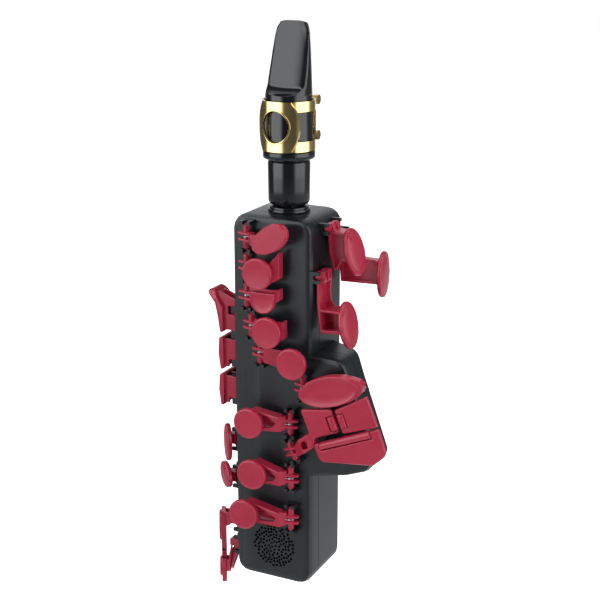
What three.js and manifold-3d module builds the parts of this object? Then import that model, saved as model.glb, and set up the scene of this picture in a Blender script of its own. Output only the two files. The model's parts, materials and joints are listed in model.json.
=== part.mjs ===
// A digital wind controller: a slim box with sprung saxophone keys and a saxophone mouthpiece on top.
// Millimetres. The origin is the centre of the casing's foot. X runs across, with the low key table on
// the +X side, the finger keys face -Y, and Z runs up to the mouthpiece.
import * as THREE from 'three';
import { mergeVertices } from 'three/addons/utils/BufferGeometryUtils.js';
import Module from 'manifold-3d';

const wasm = await Module();
wasm.setup();

// Casing
const casingWidth = 45.5;
const casingDepth = 40;
const casingHeight = 205;
const keyRows = 12.853;
const keyPitch = casingHeight / keyRows;
const casingCornerRadius = 7.5;
const casingEdgeRadius = 3.4;
const wall = 2.2;
const seamSetback = 11;
const seamGap = 0.4;
const clearance = 0.3;
const overrun = 1;
const frontY = -casingDepth / 2;
const backY = casingDepth / 2;
const seamY = frontY + seamSetback;
const sideX = casingWidth / 2;

// Shoulder that carries the key table, beside the casing. The key pitch spaces all keys
const shoulderReach = 2.445 * keyPitch;
const shoulderTopZ = 8.433 * keyPitch;
const shoulderFootZ = 3.887 * keyPitch;
const shoulderCornerRadius = 7;
const shoulderBackSetback = 0.71 * casingDepth;
const shoulderRimSetback = 0.4625 * casingDepth;
const shoulderTipSetback = 0.3575 * casingDepth;

// Case screws, and the speaker that fits between the lower two
const screwX = 15.5;
const screwFootZ = 0.815 * keyPitch;
const screwHeadZ = 12.038 * keyPitch;
const bossRadius = 3.4;
const caseScrewHeadRadius = 2.6;
const caseScrewHeadHeight = 2;
const caseScrewRadius = 1.25;
const grilleX = 1;
const grilleZ = 1.273 * keyPitch;
const speakerRadius = Math.hypot(screwX - grilleX, grilleZ - screwFootZ) - bossRadius - clearance;
const grilleRadius = 0.96 * speakerRadius;
const grilleHoles = 61;
const grilleHoleSmall = 0.55;
const grilleHoleLarge = 0.8;
const grilleTurn = Math.PI * (3 - Math.sqrt(5));
const speakerDepth = 6.5;
const magnetRadius = 0.56 * speakerRadius;

// Key hinges: a barrel with a thin journal at each end, snapped into two ears
const barrelRadius = 1.75;
const barrelLength = 0.765 * keyPitch;
const journalRadius = 1;
const journalReach = 1.05;
const earThickness = 1.9;
const earHalfWidth = 3;
const earLip = 2.2;
const frontPinRise = 4;
const sidePinRise = 2.3;
const pinY = frontY - frontPinRise;
const sidePinY = -12;

// Finger keys: their places are counted in key pitches from the casing's foot
const pearlRadius = 0.52 * keyPitch;
const pearlThickness = 3;
const pearlRim = 0.5;
const pearlDish = 0.5;
const pearlSeatRadius = 6;
const pearlSeatHeight = 1.5;
const keyPlateRise = 5;
const keyWall = 1.3;
const keyTailDrop = 1;
const keyTailLength = 1.279 * keyPitch;
const forkTabThickness = 1.4;
const forkSlot = 2;
const forkReach = 4.6;
const forkHeight = 3.2;
const leafThickness = 4;
const stemRadius = 4;

// Key table, turned about its lower left corner
const tableTurn = THREE.MathUtils.degToRad(22.5);
const tableX = sideX + 0.492 * keyPitch;
const tableZ = 5.674 * keyPitch;
const tableLength = 2.458 * keyPitch;
const tableRise = 13;
const tablePlateThickness = 2.6;
const tableEdge = 0.7;
const tableGap = 1.9;
const tableUpperHeight = 1.11 * keyPitch;
const rollerRadius = 2.1;
const rollerProud = 0.6;
const smallRollerRadius = 1.4;
const rollerAxleRadius = 0.6;
const rollerAxleReach = 1;

// Keys on the left side
const sideKeyReach = 8.5;
const sideKeyThickness = 3.1;
const sideKeyBow = 1.2;
const sideKeyDepth = 15;
const sideWebGap = 4.8;
const sideBarrelLength = 0.564 * keyPitch;
const sideEarThickness = 0.226 * keyPitch;
const sideEarHalfWidth = 2;

// Palm keys on the right side
const palmLength = 1.567 * keyPitch;
const palmWidth = 0.395 * casingDepth;
const palmThickness = 2.4;

// Mouthpiece, ligature and neck
const neckX = 0.8;
const collarRadius = 10.2;
const collarHeight = 2.7;
const neckRadius = 6.2;
const neckBore = 4.2;
const neckInsert = 14;
const corkThickness = 1.6;
const shankRadius = 10.75;
const shankLength = 22.5;
const shankEdge = 2.2;
const bodyRadius = 12.75;
const mouthpieceLength = 93.2;
const boreDepth = 0.268 * mouthpieceLength;
const corkLength = 0.88 * boreDepth;
const mouthpieceLift = 3.8;
const tipWidth = 15;
const heelWidth = 13;
const tableSetback = 7.8;
const ligatureRise = 1.5;
const ligatureHeight = 25.5;
const ligatureWall = 0.55;
const ligatureBandHeight = 5.2;
const ligatureEyeWidth = 12.5;
const ligatureEyeHeight = 15.3;
const ligatureEyeRim = 4.2;
const ligatureLug = 3.6;
const reedSetback = 2.5;
const reedHeel = 3.8;
const screwRadius = 1.1;
const screwHeadRadius = 2.6;
const screwHeadLength = 2.6;

// Inside the casing
const boardThickness = 1.6;
const batteryWidth = 32;
const batteryDepth = 9;
const batteryHeight = 3.636 * keyPitch;
const sensorSize = 10;
const tubeRadius = 1.6;
const tubeBore = 0.8;

// Back of the casing
const restRadius = 9.5;
const restThickness = 3;
const hookWidth = 14;
const hookLength = 1.379 * keyPitch;
const hookThickness = 2.6;
const hookReach = 19;
const strapRadius = 6;
const strapWire = 1.2;
const octaveWidth = 15;
const octaveRise = 6;
const buttonRadius = 3;
const buttonFlange = 1;

// Facets
const pearlFacets = 20;
const barrelFacets = 10;
const journalFacets = 6;
const holeFacets = 6;
const bodyFacets = 36;
const arcSteps = 4;
const earSteps = 2;
const ovalSteps = 6;
const eyeSteps = 9;
const bevelSteps = 2;

// Materials
const plastic = { roughness: 0.45, metalness: 0 };
const casingBlack = new THREE.MeshStandardMaterial({ color: '#2b2d2f', ...plastic });
const keyRed = new THREE.MeshStandardMaterial({ color: '#ab3347', ...plastic });
const ebonite = new THREE.MeshStandardMaterial({ color: '#111214', roughness: 0.12, metalness: 0 });
const brass = new THREE.MeshStandardMaterial({ color: '#d9b25c', roughness: 0.2, metalness: 1 });
const cane = new THREE.MeshStandardMaterial({ color: '#d8c58e', roughness: 0.7, metalness: 0 });
const cork = new THREE.MeshStandardMaterial({ color: '#b98a5a', roughness: 0.9, metalness: 0 });
const steel = new THREE.MeshStandardMaterial({ color: '#b9bcc0', roughness: 0.3, metalness: 1 });
const rubber = new THREE.MeshStandardMaterial({ color: '#1a1a1b', roughness: 0.8, metalness: 0 });
const boardGreen = new THREE.MeshStandardMaterial({ color: '#1f5a36', roughness: 0.5, metalness: 0 });
const cellSilver = new THREE.MeshStandardMaterial({ color: '#9a9ea3', roughness: 0.4, metalness: 0 });

const cornerLimit = 0.05;
const origin = new THREE.Vector2(0, 0);

// Ways to stand an outline: flat on the floor, facing the front, or facing the side
const axisX = new THREE.Vector3(1, 0, 0);
const axisY = new THREE.Vector3(0, 1, 0);
const axisZ = new THREE.Vector3(0, 0, 1);
const lying = new THREE.Matrix4();
const facing = new THREE.Matrix4().makeBasis(axisX, axisZ, axisY.clone().negate());
const sideways = new THREE.Matrix4().makeBasis(axisY, axisZ, axisX);

// A closed geometry as a solid that can be joined and cut
function toSolid(geometry) {
  const bare = new THREE.BufferGeometry();
  bare.setAttribute('position', geometry.getAttribute('position'));
  bare.setIndex(geometry.getIndex());
  const merged = mergeVertices(bare, clearance / 3000);
  const corners = [];
  const index = merged.getIndex().array;
  for (let i = 0; i < index.length; i += 3) {
    const [a, b, c] = [index[i], index[i + 1], index[i + 2]];
    if (a !== b && b !== c && c !== a) corners.push(a, b, c);
  }
  const vertProperties = new Float32Array(merged.getAttribute('position').array);
  const triVerts = new Uint32Array(corners);
  return new wasm.Manifold(new wasm.Mesh({ numProp: 3, vertProperties, triVerts }));
}

function join(...solids) {
  return solids.reduce((whole, piece) => whole.add(piece));
}

function cut(solid, ...tools) {
  return tools.reduce((rest, tool) => rest.subtract(tool), solid);
}

// A finished solid as a named mesh
function part(name, solid, material) {
  const { vertProperties, triVerts } = solid.getMesh();
  const geometry = new THREE.BufferGeometry();
  geometry.setAttribute('position', new THREE.BufferAttribute(vertProperties, 3));
  geometry.setIndex(new THREE.BufferAttribute(triVerts, 1));
  geometry.computeVertexNormals();
  const finish = material.clone();
  finish.flatShading = true;
  const mesh = new THREE.Mesh(geometry, finish);
  mesh.name = name;
  return mesh;
}

// A box from its lowest to its highest corner
function block(low, high, turn = null) {
  const geometry = new THREE.BoxGeometry(high[0] - low[0], high[1] - low[1], high[2] - low[2]);
  geometry.translate((low[0] + high[0]) / 2, (low[1] + high[1]) / 2, (low[2] + high[2]) / 2);
  if (turn) geometry.applyMatrix4(turn);
  return toSolid(geometry);
}

// A rod from one end to the other
function rod(from, to, radius, facets, farRadius = radius) {
  const start = new THREE.Vector3(...from);
  const end = new THREE.Vector3(...to);
  const length = start.distanceTo(end);
  const geometry = new THREE.CylinderGeometry(farRadius, radius, length, facets);
  const along = end.clone().sub(start).normalize();
  geometry.applyQuaternion(new THREE.Quaternion().setFromUnitVectors(axisY, along));
  geometry.translate(...start.add(end).divideScalar(2).toArray());
  return toSolid(geometry);
}

// A profile of radius and height turned about an upright axis
function turned(profile, facets, [x, y, z] = [0, 0, 0], tilt = null) {
  const points = profile.map(([radius, height]) => new THREE.Vector2(radius, height));
  const geometry = new THREE.LatheGeometry(points, facets);
  geometry.applyMatrix4(new THREE.Matrix4().makeRotationX(Math.PI / 2));
  if (tilt) geometry.applyMatrix4(tilt);
  geometry.translate(x, y, z);
  return toSolid(geometry);
}

// A closed outline with rounded corners; a radius may be given for each corner
function outline(points, radius = 0, steps = arcSteps) {
  const drawn = [];
  points.forEach((point, i) => {
    const corner = new THREE.Vector2(...point);
    const before = new THREE.Vector2(...points[(i + points.length - 1) % points.length]).sub(corner);
    const after = new THREE.Vector2(...points[(i + 1) % points.length]).sub(corner);
    const wanted = Array.isArray(radius) ? radius[i] : radius;
    const half = before.angleTo(after) / 2;
    const longest = 0.49 * Math.min(before.length(), after.length());
    const reach = Math.min(wanted / Math.tan(half), longest);
    if (reach < cornerLimit) {
      drawn.push(corner);
      return;
    }
    before.normalize();
    after.normalize();
    const bisector = before.clone().add(after).normalize();
    const centre = corner.clone().addScaledVector(bisector, reach / Math.cos(half));
    const start = corner.clone().addScaledVector(before, reach).sub(centre);
    const end = corner.clone().addScaledVector(after, reach).sub(centre);
    const sweep = Math.atan2(start.cross(end), start.dot(end));
    for (let step = 0; step <= steps; step += 1) {
      drawn.push(start.clone().rotateAround(origin, (sweep * step) / steps).add(centre));
    }
  });
  return new THREE.Shape(drawn);
}

function oval(x, y, halfLength, halfWidth, turn = 0) {
  return new THREE.Shape().absellipse(x, y, halfLength, halfWidth, 0, 2 * Math.PI, false, turn);
}

// An outline given thickness, stood up by one of the three ways, then moved
function slab(shape, thickness, stand, [x, y, z], bevel = 0, steps = arcSteps) {
  const geometry = new THREE.ExtrudeGeometry(shape, {
    depth: thickness - 2 * bevel,
    bevelEnabled: bevel > 0,
    bevelThickness: bevel,
    bevelSize: bevel,
    bevelOffset: -bevel,
    bevelSegments: bevelSteps,
    curveSegments: steps,
  });
  geometry.translate(0, 0, bevel);
  geometry.applyMatrix4(stand);
  geometry.translate(x, y, z);
  return toSolid(geometry);
}

// Casing form, drawn in by an inset for the hollow
const shoulderTipX = sideX + shoulderReach;

function boxOutline(inset) {
  const points = [
    [-sideX + inset, inset],
    [sideX - inset, inset],
    [sideX - inset, casingHeight - inset],
    [-sideX + inset, casingHeight - inset],
  ];
  return outline(points, casingCornerRadius - inset);
}

// Outline of the shoulder, as shares of its reach and height, from its foot at the casing's wall
const shoulderShares = [[-0.35, 0], [0.51, 0.1], [0.82, 0.165], [1, 0.285], [0.455, 0.99], [-0.35, 1]];
const shoulderRadiusShares = [0, 1.5, 1, 0.6, 1, 0];
const shoulderHeight = shoulderTopZ - shoulderFootZ;

function shoulderOutline(inset) {
  const points = shoulderShares.map(([across, up]) => [
    sideX + across * shoulderReach,
    shoulderFootZ + up * shoulderHeight,
  ]);
  const drawnIn = points.map(([x, z], i) => {
    if (i === 0) return [x, z + inset];
    if (i === points.length - 1) return [x, z - inset];
    const towards = new THREE.Vector2(sideX - x, shoulderFootZ + shoulderHeight / 2 - z).normalize();
    return [x + towards.x * inset * 1.25, z + towards.y * inset * 1.25];
  });
  return outline(drawnIn, shoulderRadiusShares.map((share) => share * shoulderCornerRadius));
}

function casingForm(inset) {
  const edge = Math.max(casingEdgeRadius - inset, clearance);
  const depth = casingDepth - 2 * inset;
  const box = slab(boxOutline(inset), depth, facing, [0, backY - inset, 0], edge);
  const shoulder = slab(shoulderOutline(inset), depth, facing, [0, backY - inset, 0], edge);
  const rear = [
    [0, backY + overrun],
    [0, frontY + shoulderBackSetback + 0.44 * sideX - inset],
    [sideX, frontY + shoulderBackSetback - inset],
    [sideX + 0.57 * shoulderReach, frontY + shoulderRimSetback - inset],
    [shoulderTipX + overrun, frontY + shoulderTipSetback - inset],
    [shoulderTipX + overrun, backY + overrun],
  ];
  const wedge = slab(outline(rear), casingHeight, lying, [0, 0, 0]);
  return join(box, cut(shoulder, wedge));
}

// Ears for a pin along local Z: a plate with a slot open away from the wall
function ear(rise, height, thickness, halfWidth) {
  const slot = journalRadius + clearance;
  const shape = new THREE.Shape();
  shape.moveTo(-halfWidth, rise + overrun);
  shape.lineTo(-halfWidth, -earLip);
  shape.lineTo(-slot, -earLip);
  shape.lineTo(-slot, 0);
  shape.absarc(0, 0, slot, Math.PI, 0, true);
  shape.lineTo(slot, -earLip);
  shape.lineTo(halfWidth, -earLip);
  shape.lineTo(halfWidth, rise + overrun);
  return slab(shape, thickness, lying, [0, 0, height - thickness / 2], 0, earSteps);
}

function ears(rise, length, thickness, place, halfWidth = earHalfWidth) {
  const reach = length / 2 + clearance + thickness / 2;
  return [-reach, reach].map((height) => moved(ear(rise, height, thickness, halfWidth), place));
}

// A solid carried to another place by a matrix
function moved(solid, place) {
  const { vertProperties, triVerts } = solid.getMesh();
  const geometry = new THREE.BufferGeometry();
  geometry.setAttribute('position', new THREE.BufferAttribute(vertProperties, 3));
  geometry.setIndex(new THREE.BufferAttribute(triVerts, 1));
  geometry.applyMatrix4(place);
  return toSolid(geometry);
}

function pin(length, reach = journalReach) {
  const half = length / 2;
  const barrel = rod([0, 0, -half], [0, 0, half], barrelRadius, barrelFacets);
  const journal = rod([0, 0, -half - reach], [0, 0, half + reach], journalRadius, journalFacets);
  return join(barrel, journal);
}

// Frames: where each hinge stands and which way it is turned
function frontHinge(x, z, turn = 0) {
  const place = new THREE.Matrix4().makeRotationY(-turn);
  return place.setPosition(x, pinY, z);
}

function tablePoint(along, up) {
  const x = tableX + along * Math.cos(tableTurn) - up * Math.sin(tableTurn);
  const z = tableZ + along * Math.sin(tableTurn) + up * Math.cos(tableTurn);
  return [x, z];
}

function sideHinge(z) {
  const place = new THREE.Matrix4().makeRotationZ(-Math.PI / 2);
  return place.setPosition(-sideX - sidePinRise, sidePinY, z);
}

// Pearl on its seat, with its face to the front
const faceFront = new THREE.Matrix4().makeRotationX(Math.PI / 2);
const faceBack = new THREE.Matrix4().makeRotationX(-Math.PI / 2);

function pearl(x, z, top, seat, radius = pearlRadius) {
  const profile = [
    [0, 0],
    [radius, 0],
    [radius, pearlThickness - pearlRim],
    [radius - pearlRim, pearlThickness],
    [0, pearlThickness - pearlDish],
  ];
  const cap = turned(profile, pearlFacets, [x, -top + pearlThickness, z], faceFront);
  const back = -top + pearlThickness - pearlDish;
  const stem = rod([x, back, z], [x, -seat + keyWall / 2, z], pearlSeatRadius, barrelFacets);
  return join(cap, stem);
}

// Fork: two tabs that straddle the spring, across the pin
function fork(dir) {
  const points = [
    [-forkReach, -forkHeight / 3],
    [-forkReach, forkHeight / 4],
    [0, barrelRadius],
    [forkReach, forkHeight / 4],
    [forkReach + keyWall, -forkHeight],
    [forkReach / 2, -forkHeight],
  ].map(([x, y]) => [dir * x, y]);
  const offset = (forkSlot + forkTabThickness) / 2;
  return [-offset, offset].map((z) => {
    return slab(outline(points), forkTabThickness, lying, [0, 0, z - forkTabThickness / 2]);
  });
}

// Channel key body: a bent plate along X, trimmed to an outline seen from the front
function channel(dir, length, trim, rise = keyPlateRise, tail = true) {
  const start = barrelRadius;
  const shoulderX = forkReach;
  const outer = [
    [start, -barrelRadius],
    [shoulderX, -rise],
    [length - keyTailLength / 5, -rise],
    [length, tail ? -rise * 0.72 : -rise],
    [length, tail ? keyTailDrop : -rise + keyWall],
  ];
  const inner = [
    [length - keyWall, tail ? keyTailDrop : -rise + keyWall],
    [length - keyWall, tail ? -rise * 0.6 : -rise + keyWall],
    [length - keyTailLength / 5 - keyWall / 2, -rise + keyWall],
    [shoulderX + keyWall / 2, -rise + keyWall],
    [start + keyWall / 2, barrelRadius / 2],
  ];
  const profile = outline([...outer, ...inner].map(([x, y]) => [dir * x, y]));
  const plate = slab(profile, 2 * keyPitch, lying, [0, 0, -keyPitch]);
  const mask = slab(outline(trim.map(([x, z]) => [dir * x, z])), 4 * rise, facing, [0, 2 * rise, 0]);
  return plate.intersect(mask);
}

const pearlTop = keyPlateRise + pearlSeatHeight + pearlThickness;

// Finger keys of the upper hand, hinged on the left. Shares are of the key pitch, from the hinge
const upperHingeX = -0.257 * casingWidth;
const upperKeys = {
  key_c: { x: upperHingeX, z: 12.213, touch: [1.082, 0.107], base: [0.15, 0.15, -0.2, -0.3], leaf: true },
  key_b: { x: upperHingeX, z: 11.263, touch: [0.64, -0.11], base: [0.15, 0.6, -0.25, -0.57] },
  key_b_flat_side: {
    x: upperHingeX,
    z: 10.263,
    touch: [0.77, 0],
    base: [0.36, 0.36, 0.05, -0.38],
    flat: true,
  },
  key_a: { x: -0.204 * casingWidth, z: 9.266, touch: [0.803, -0.044], base: [0.3, 0.3, -0.25, -0.55] },
};
const leafHalfLength = 0.69 * keyPitch;
const leafHalfWidth = 0.4075 * keyPitch;
const leafTurn = THREE.MathUtils.degToRad(33);
const flatTouchRadius = 0.408 * keyPitch;
const flatTouchDrop = 2.6;

function upperKey({ touch, base, leaf, flat }) {
  const [x, z] = touch.map((share) => share * keyPitch);
  const [top, tip, corner, low] = base.map((share) => share * keyPitch);
  const tall = Math.max(top, forkSlot / 2 + forkTabThickness);
  const trim = [
    [0, -forkHeight],
    [0, forkHeight],
    [forkReach, tall],
    [keyTailLength * 0.7, tall],
    [keyTailLength, Math.max(tall, tip)],
    [keyTailLength + overrun, Math.max(tall, tip)],
    [keyTailLength + overrun, corner],
    [keyTailLength * 0.6, low],
    [forkReach, Math.min(low / 2, -forkHeight)],
  ];
  const pieces = [pin(barrelLength), ...fork(1), channel(1, keyTailLength, trim)];
  if (leaf) {
    const shape = oval(x, z, leafHalfLength, leafHalfWidth, leafTurn);
    pieces.push(slab(shape, leafThickness, facing, [0, -pearlTop + leafThickness, 0], pearlRim, ovalSteps));
    const stemTop = [x, -pearlTop + leafThickness - pearlRim, z];
    pieces.push(rod(stemTop, [x, -keyPlateRise + keyWall / 2, z - stemRadius / 2], stemRadius, barrelFacets));
  } else if (flat) {
    const r = flatTouchRadius;
    const high = z + 0.6 * r;
    const shape = outline([[x - r, high], [x + r, high], [x + r, z - r], [x - r, z - r]], [0, 0, r, r]);
    const seat = -keyPlateRise + keyWall / 2;
    pieces.push(slab(shape, pearlTop - flatTouchDrop + seat, facing, [0, seat, 0], pearlRim));
  } else {
    pieces.push(pearl(x, z, pearlTop, keyPlateRise));
  }
  return join(...pieces);
}

// Finger keys on plain arms: G is hinged on the left, the lower hand's keys on the right
const lowerHingeX = 0.295 * casingWidth;
const armHalfWidth = 0.263 * keyPitch;
const armNeckHalfWidth = 0.326 * keyPitch;
const ridgeHeight = 6;
const armKeys = {
  key_g: { x: -0.092 * casingWidth, z: 8.376, touch: [1.373, -0.082], dir: 1, ridge: false },
  key_f: { x: lowerHingeX, z: 6.044, touch: [1.32, -0.06], dir: -1, ridge: true },
  key_e: { x: lowerHingeX, z: 4.094, touch: [1.22, 0.07], dir: -1, ridge: true },
  key_d: { x: lowerHingeX, z: 2.583, touch: [1.55, 0.055], dir: -1, ridge: true },
};

function armKey({ touch, dir, ridge }) {
  const [x, z] = touch.map((share) => share * keyPitch);
  const trim = [
    [0, -forkHeight],
    [0, forkHeight],
    [forkReach, armHalfWidth],
    [x, z + armNeckHalfWidth],
    [x, z - armNeckHalfWidth],
    [forkReach, -armHalfWidth],
  ];
  const pieces = [pin(barrelLength), ...fork(dir), channel(dir, x, trim, keyPlateRise, false)];
  if (ridge) {
    const near = [forkReach, armHalfWidth];
    const end = [x, z + pearlRadius - keyWall];
    const band = [near, end, [end[0], end[1] - keyWall], [near[0], near[1] - keyWall]];
    const shape = outline(band.map(([a, b]) => [dir * a, b]));
    pieces.push(slab(shape, ridgeHeight, facing, [0, -keyPlateRise + ridgeHeight - pearlSeatHeight / 2, 0]));
    const link = [[x, z], end, [x - armNeckHalfWidth, z + armNeckHalfWidth], [x - armNeckHalfWidth, z]];
    const foot = outline(link.map(([a, b]) => [dir * a, b]));
    pieces.push(slab(foot, keyWall, facing, [0, -keyPlateRise + keyWall, 0]));
  }
  pieces.push(pearl(dir * x, z, pearlTop, keyPlateRise));
  return join(...pieces);
}

// G sharp key: a long leaf over the shoulder
const sharpHinge = [0.453 * casingWidth, 7.367];
const sharpTouch = [1.23, 0.24];
const sharpHalfLength = 1.154 * keyPitch;
const sharpHalfWidth = 0.5016 * keyPitch;
const sharpSkirt = 2.6;
const sharpTurn = THREE.MathUtils.degToRad(17);

function sharpKey() {
  const [x, z] = sharpTouch.map((share) => share * keyPitch);
  const rise = tableRise - frontPinRise;
  const shape = oval(x, z, sharpHalfLength, sharpHalfWidth, sharpTurn);
  const leaf = slab(shape, leafThickness, facing, [0, -rise + leafThickness, 0], pearlRim, eyeSteps);
  const inset = sharpSkirt / 2;
  const under = oval(x + inset, z, sharpHalfLength - inset, sharpHalfWidth - inset, sharpTurn);
  const skirtY = -rise + leafThickness + sharpSkirt;
  const skirt = slab(under, sharpSkirt + pearlRim, facing, [0, skirtY, 0], pearlRim, ovalSteps);
  const trim = [
    [0, -forkHeight],
    [0, forkHeight],
    [forkReach, armHalfWidth],
    [x, z + armHalfWidth / 2],
    [x, z - armHalfWidth / 2],
    [forkReach, -armHalfWidth],
  ];
  const arm = channel(1, x, trim, keyPlateRise, false);
  const postLow = [x / 2, -rise + leafThickness - pearlRim, (z - armHalfWidth) / 2];
  const post = block(postLow, [x - keyWall, -keyPlateRise + keyWall / 2, (z + armHalfWidth) / 2]);
  return join(pin(barrelLength), ...fork(1), arm, post, leaf, skirt);
}

// Key table: three plates in one turned frame, along and up from its lower left corner
const platesTop = tableRise - frontPinRise;
const tableMiddle = 0.43 * tableLength;
const sharpCornerDrop = 0.097 * tableLength;
const rollerLength = 0.194 * tableLength;
const rollerMiddle = 0.214 * tableLength;
const rollerInset = rollerRadius - clearance / 2;
const longRollerLength = 0.765 * tableLength;
const longRollerSetback = 1.8;
const longRollerStart = 0.092 * tableLength;
const plateRadius = 1.2;
const rollerY = rollerRadius - rollerProud - tableRise + frontPinRise;

const lowCSharpHinge = [-0.47 * tableLength, -0.069 * tableLength];
const lowBHinge = [0.204 * tableLength, 0.217 * tableLength];
const lowBFlatHinge = [0.102 * tableLength, -0.166 * tableLength];
const lowBarrelLength = 0.168 * tableLength;
const cSharpBarrelLength = 0.245 * tableLength;

function plate(points, radius) {
  return (hinge) => {
    const shape = outline(points.map(([along, up]) => [along - hinge[0], up - hinge[1]]), radius);
    return slab(shape, tablePlateThickness, facing, [0, -platesTop + tablePlateThickness, 0], tableEdge);
  };
}

function rollerSlot(along, up, length, hinge) {
  const slot = rollerRadius + clearance;
  const half = length / 2 + clearance;
  const [x, z] = [along - hinge[0], up - hinge[1]];
  const hole = rollerAxleRadius + clearance;
  const reach = half + rollerAxleReach;
  return { slot, half, y: rollerY, x, z, hole, reach };
}

// Shares of the table's length from the pin: the arm seen from the front, its pocket and its side
const cSharpArmShares = [
  [0.24, 0.165], [0.44, 0.22], [0.53, 0.25],
  [0.53, 0.16], [0.44, 0.02], [0.23, -0.04],
];
const cSharpPocketShares = [[0.275, 0.132], [0.378, 0.138], [0.35, 0.025], [0.232, 0.02]];

function lowCSharp() {
  const hinge = lowCSharpHinge;
  const edge = tableMiddle;
  const points = [
    [0, tableGap + plateRadius],
    [edge, tableGap + plateRadius],
    [edge, tableUpperHeight - tableGap],
    [0, tableUpperHeight + tableGap],
  ];
  const top = plate(points, plateRadius)(hinge);
  const r = rollerSlot(edge - rollerInset, rollerMiddle, rollerLength, hinge);
  const notchHigh = [r.x + 2 * rollerInset, r.y + 2 * r.slot, r.z + r.half];
  const notch = block([r.x - r.slot, r.y - 2 * r.slot, r.z - r.half], notchHigh);
  const bore = rod([r.x, r.y, r.z - r.reach], [r.x, r.y, r.z + r.reach], r.hole, journalFacets);
  const start = forkReach - keyWall;
  const scaled = ([along, up]) => [along * tableLength, up * tableLength];
  const arm = [[start, -forkHeight], [start, forkHeight - keyWall / 2], ...cSharpArmShares.map(scaled)];
  const reach = cSharpArmShares[2][0] * tableLength;
  const front = tablePlateThickness / 2 - platesTop;
  const side = [
    [start, -barrelRadius / 2],
    [start, -forkHeight],
    [reach / 2, front],
    [reach + overrun, front],
    [reach + overrun, -2 * keyWall],
    [reach / 2, -barrelRadius / 2],
  ];
  const tall = 2 * tableLength;
  const form = slab(outline(side), tall, lying, [0, 0, -tall / 2]);
  const box = slab(outline(arm, keyWall), tall, facing, [0, tall / 2, 0]).intersect(form);
  const mouth = outline(cSharpPocketShares.map(scaled), keyWall);
  const pocket = slab(mouth, tall, facing, [0, -2 * barrelRadius, 0]);
  return join(cut(join(box, top), notch, bore, pocket), pin(cSharpBarrelLength), ...fork(1));
}

function lowB() {
  const hinge = lowBHinge;
  const start = tableMiddle + tableGap;
  const points = [
    [start, tableGap],
    [tableLength, tableGap / 2],
    [tableLength, tableUpperHeight],
    [start, tableUpperHeight - sharpCornerDrop + overrun],
  ];
  const top = plate(points, plateRadius)(hinge);
  const r = rollerSlot(start + rollerInset, rollerMiddle, rollerLength, hinge);
  const notchLow = [r.x - 2 * rollerInset, r.y - 2 * r.slot, r.z - r.half];
  const notch = block(notchLow, [r.x + r.slot, r.y + 2 * r.slot, r.z + r.half]);
  const bore = rod([r.x, r.y, r.z - r.reach], [r.x, r.y, r.z + r.reach], r.hole, journalFacets);
  const plateX = start + 2 * rollerInset + keyWall - hinge[0];
  const low = -platesTop + tablePlateThickness - tableEdge;
  const armTop = -barrelRadius - clearance;
  const half = armHalfWidth / 2;
  const arm = block([0, armTop - keyWall / 2, -half], [plateX + armHalfWidth, keyWall / 3, half]);
  const post = block([plateX, low, -half], [plateX + armHalfWidth, armTop, half]);
  return join(cut(top, notch, bore), arm, post, pin(lowBarrelLength));
}

function lowBFlat() {
  const hinge = lowBFlatHinge;
  const depth = longRollerSetback + rollerRadius + clearance;
  const end = longRollerStart + longRollerLength;
  const points = [
    [0, 0],
    [0.008 * tableLength, -0.25 * tableLength],
    [0.74 * tableLength, -0.456 * tableLength],
    [0.985 * tableLength, -0.365 * tableLength],
    [tableLength, 0],
  ];
  const round = [plateRadius, 3 * plateRadius, 3 * plateRadius, 4 * plateRadius, plateRadius];
  const whole = plate(points, round)(hinge);
  const notchLow = [longRollerStart - clearance - hinge[0], -platesTop - overrun, -depth - hinge[1]];
  const notchHigh = [end + clearance - hinge[0], 0, overrun - hinge[1]];
  const top = cut(whole, block(notchLow, notchHigh));
  const z = -longRollerSetback - hinge[1];
  const hole = rollerAxleRadius + clearance;
  const from = longRollerStart - clearance - rollerAxleReach - tableGap / 2 - hinge[0];
  const to = end + clearance + rollerAxleReach + tableGap / 2 - hinge[0];
  const bore = rod([from + tableGap / 4, rollerY, z], [to, rollerY, z], hole, journalFacets);
  const low = -platesTop + tablePlateThickness - tableEdge;
  const postHalf = armHalfWidth / 2;
  const post = block([-postHalf, low, -postHalf], [postHalf, 0, postHalf]);
  return join(cut(top, bore), post, pin(lowBarrelLength));
}

function roller(length, radius) {
  const half = length / 2;
  const reach = half + rollerAxleReach * 0.8;
  const drum = rod([0, 0, -half], [0, 0, half], radius, barrelFacets);
  return join(drum, rod([0, 0, -reach], [0, 0, reach], rollerAxleRadius, journalFacets));
}

// Left side keys: a touch plate on two webs. Local +Y runs into the casing, local +X to the front
const sideKeys = {
  side_key_high_e: { z: 9.03, low: -0.36, high: 0.72, flare: true },
  side_key_c: { z: 7.97, low: -0.61, high: 0.53, flare: false },
  side_key_b_flat: { z: 6.6, low: -0.54, high: 0.59, flare: false },
};
const flareReach = 6.6;
const flareRise = 0.41 * keyPitch;
const sidePlateAhead = 5.4;
const sideWebRecess = 1.8;
const plateSetback = 2.6;
const hubY = -barrelRadius - 2 * keyWall;

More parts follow.
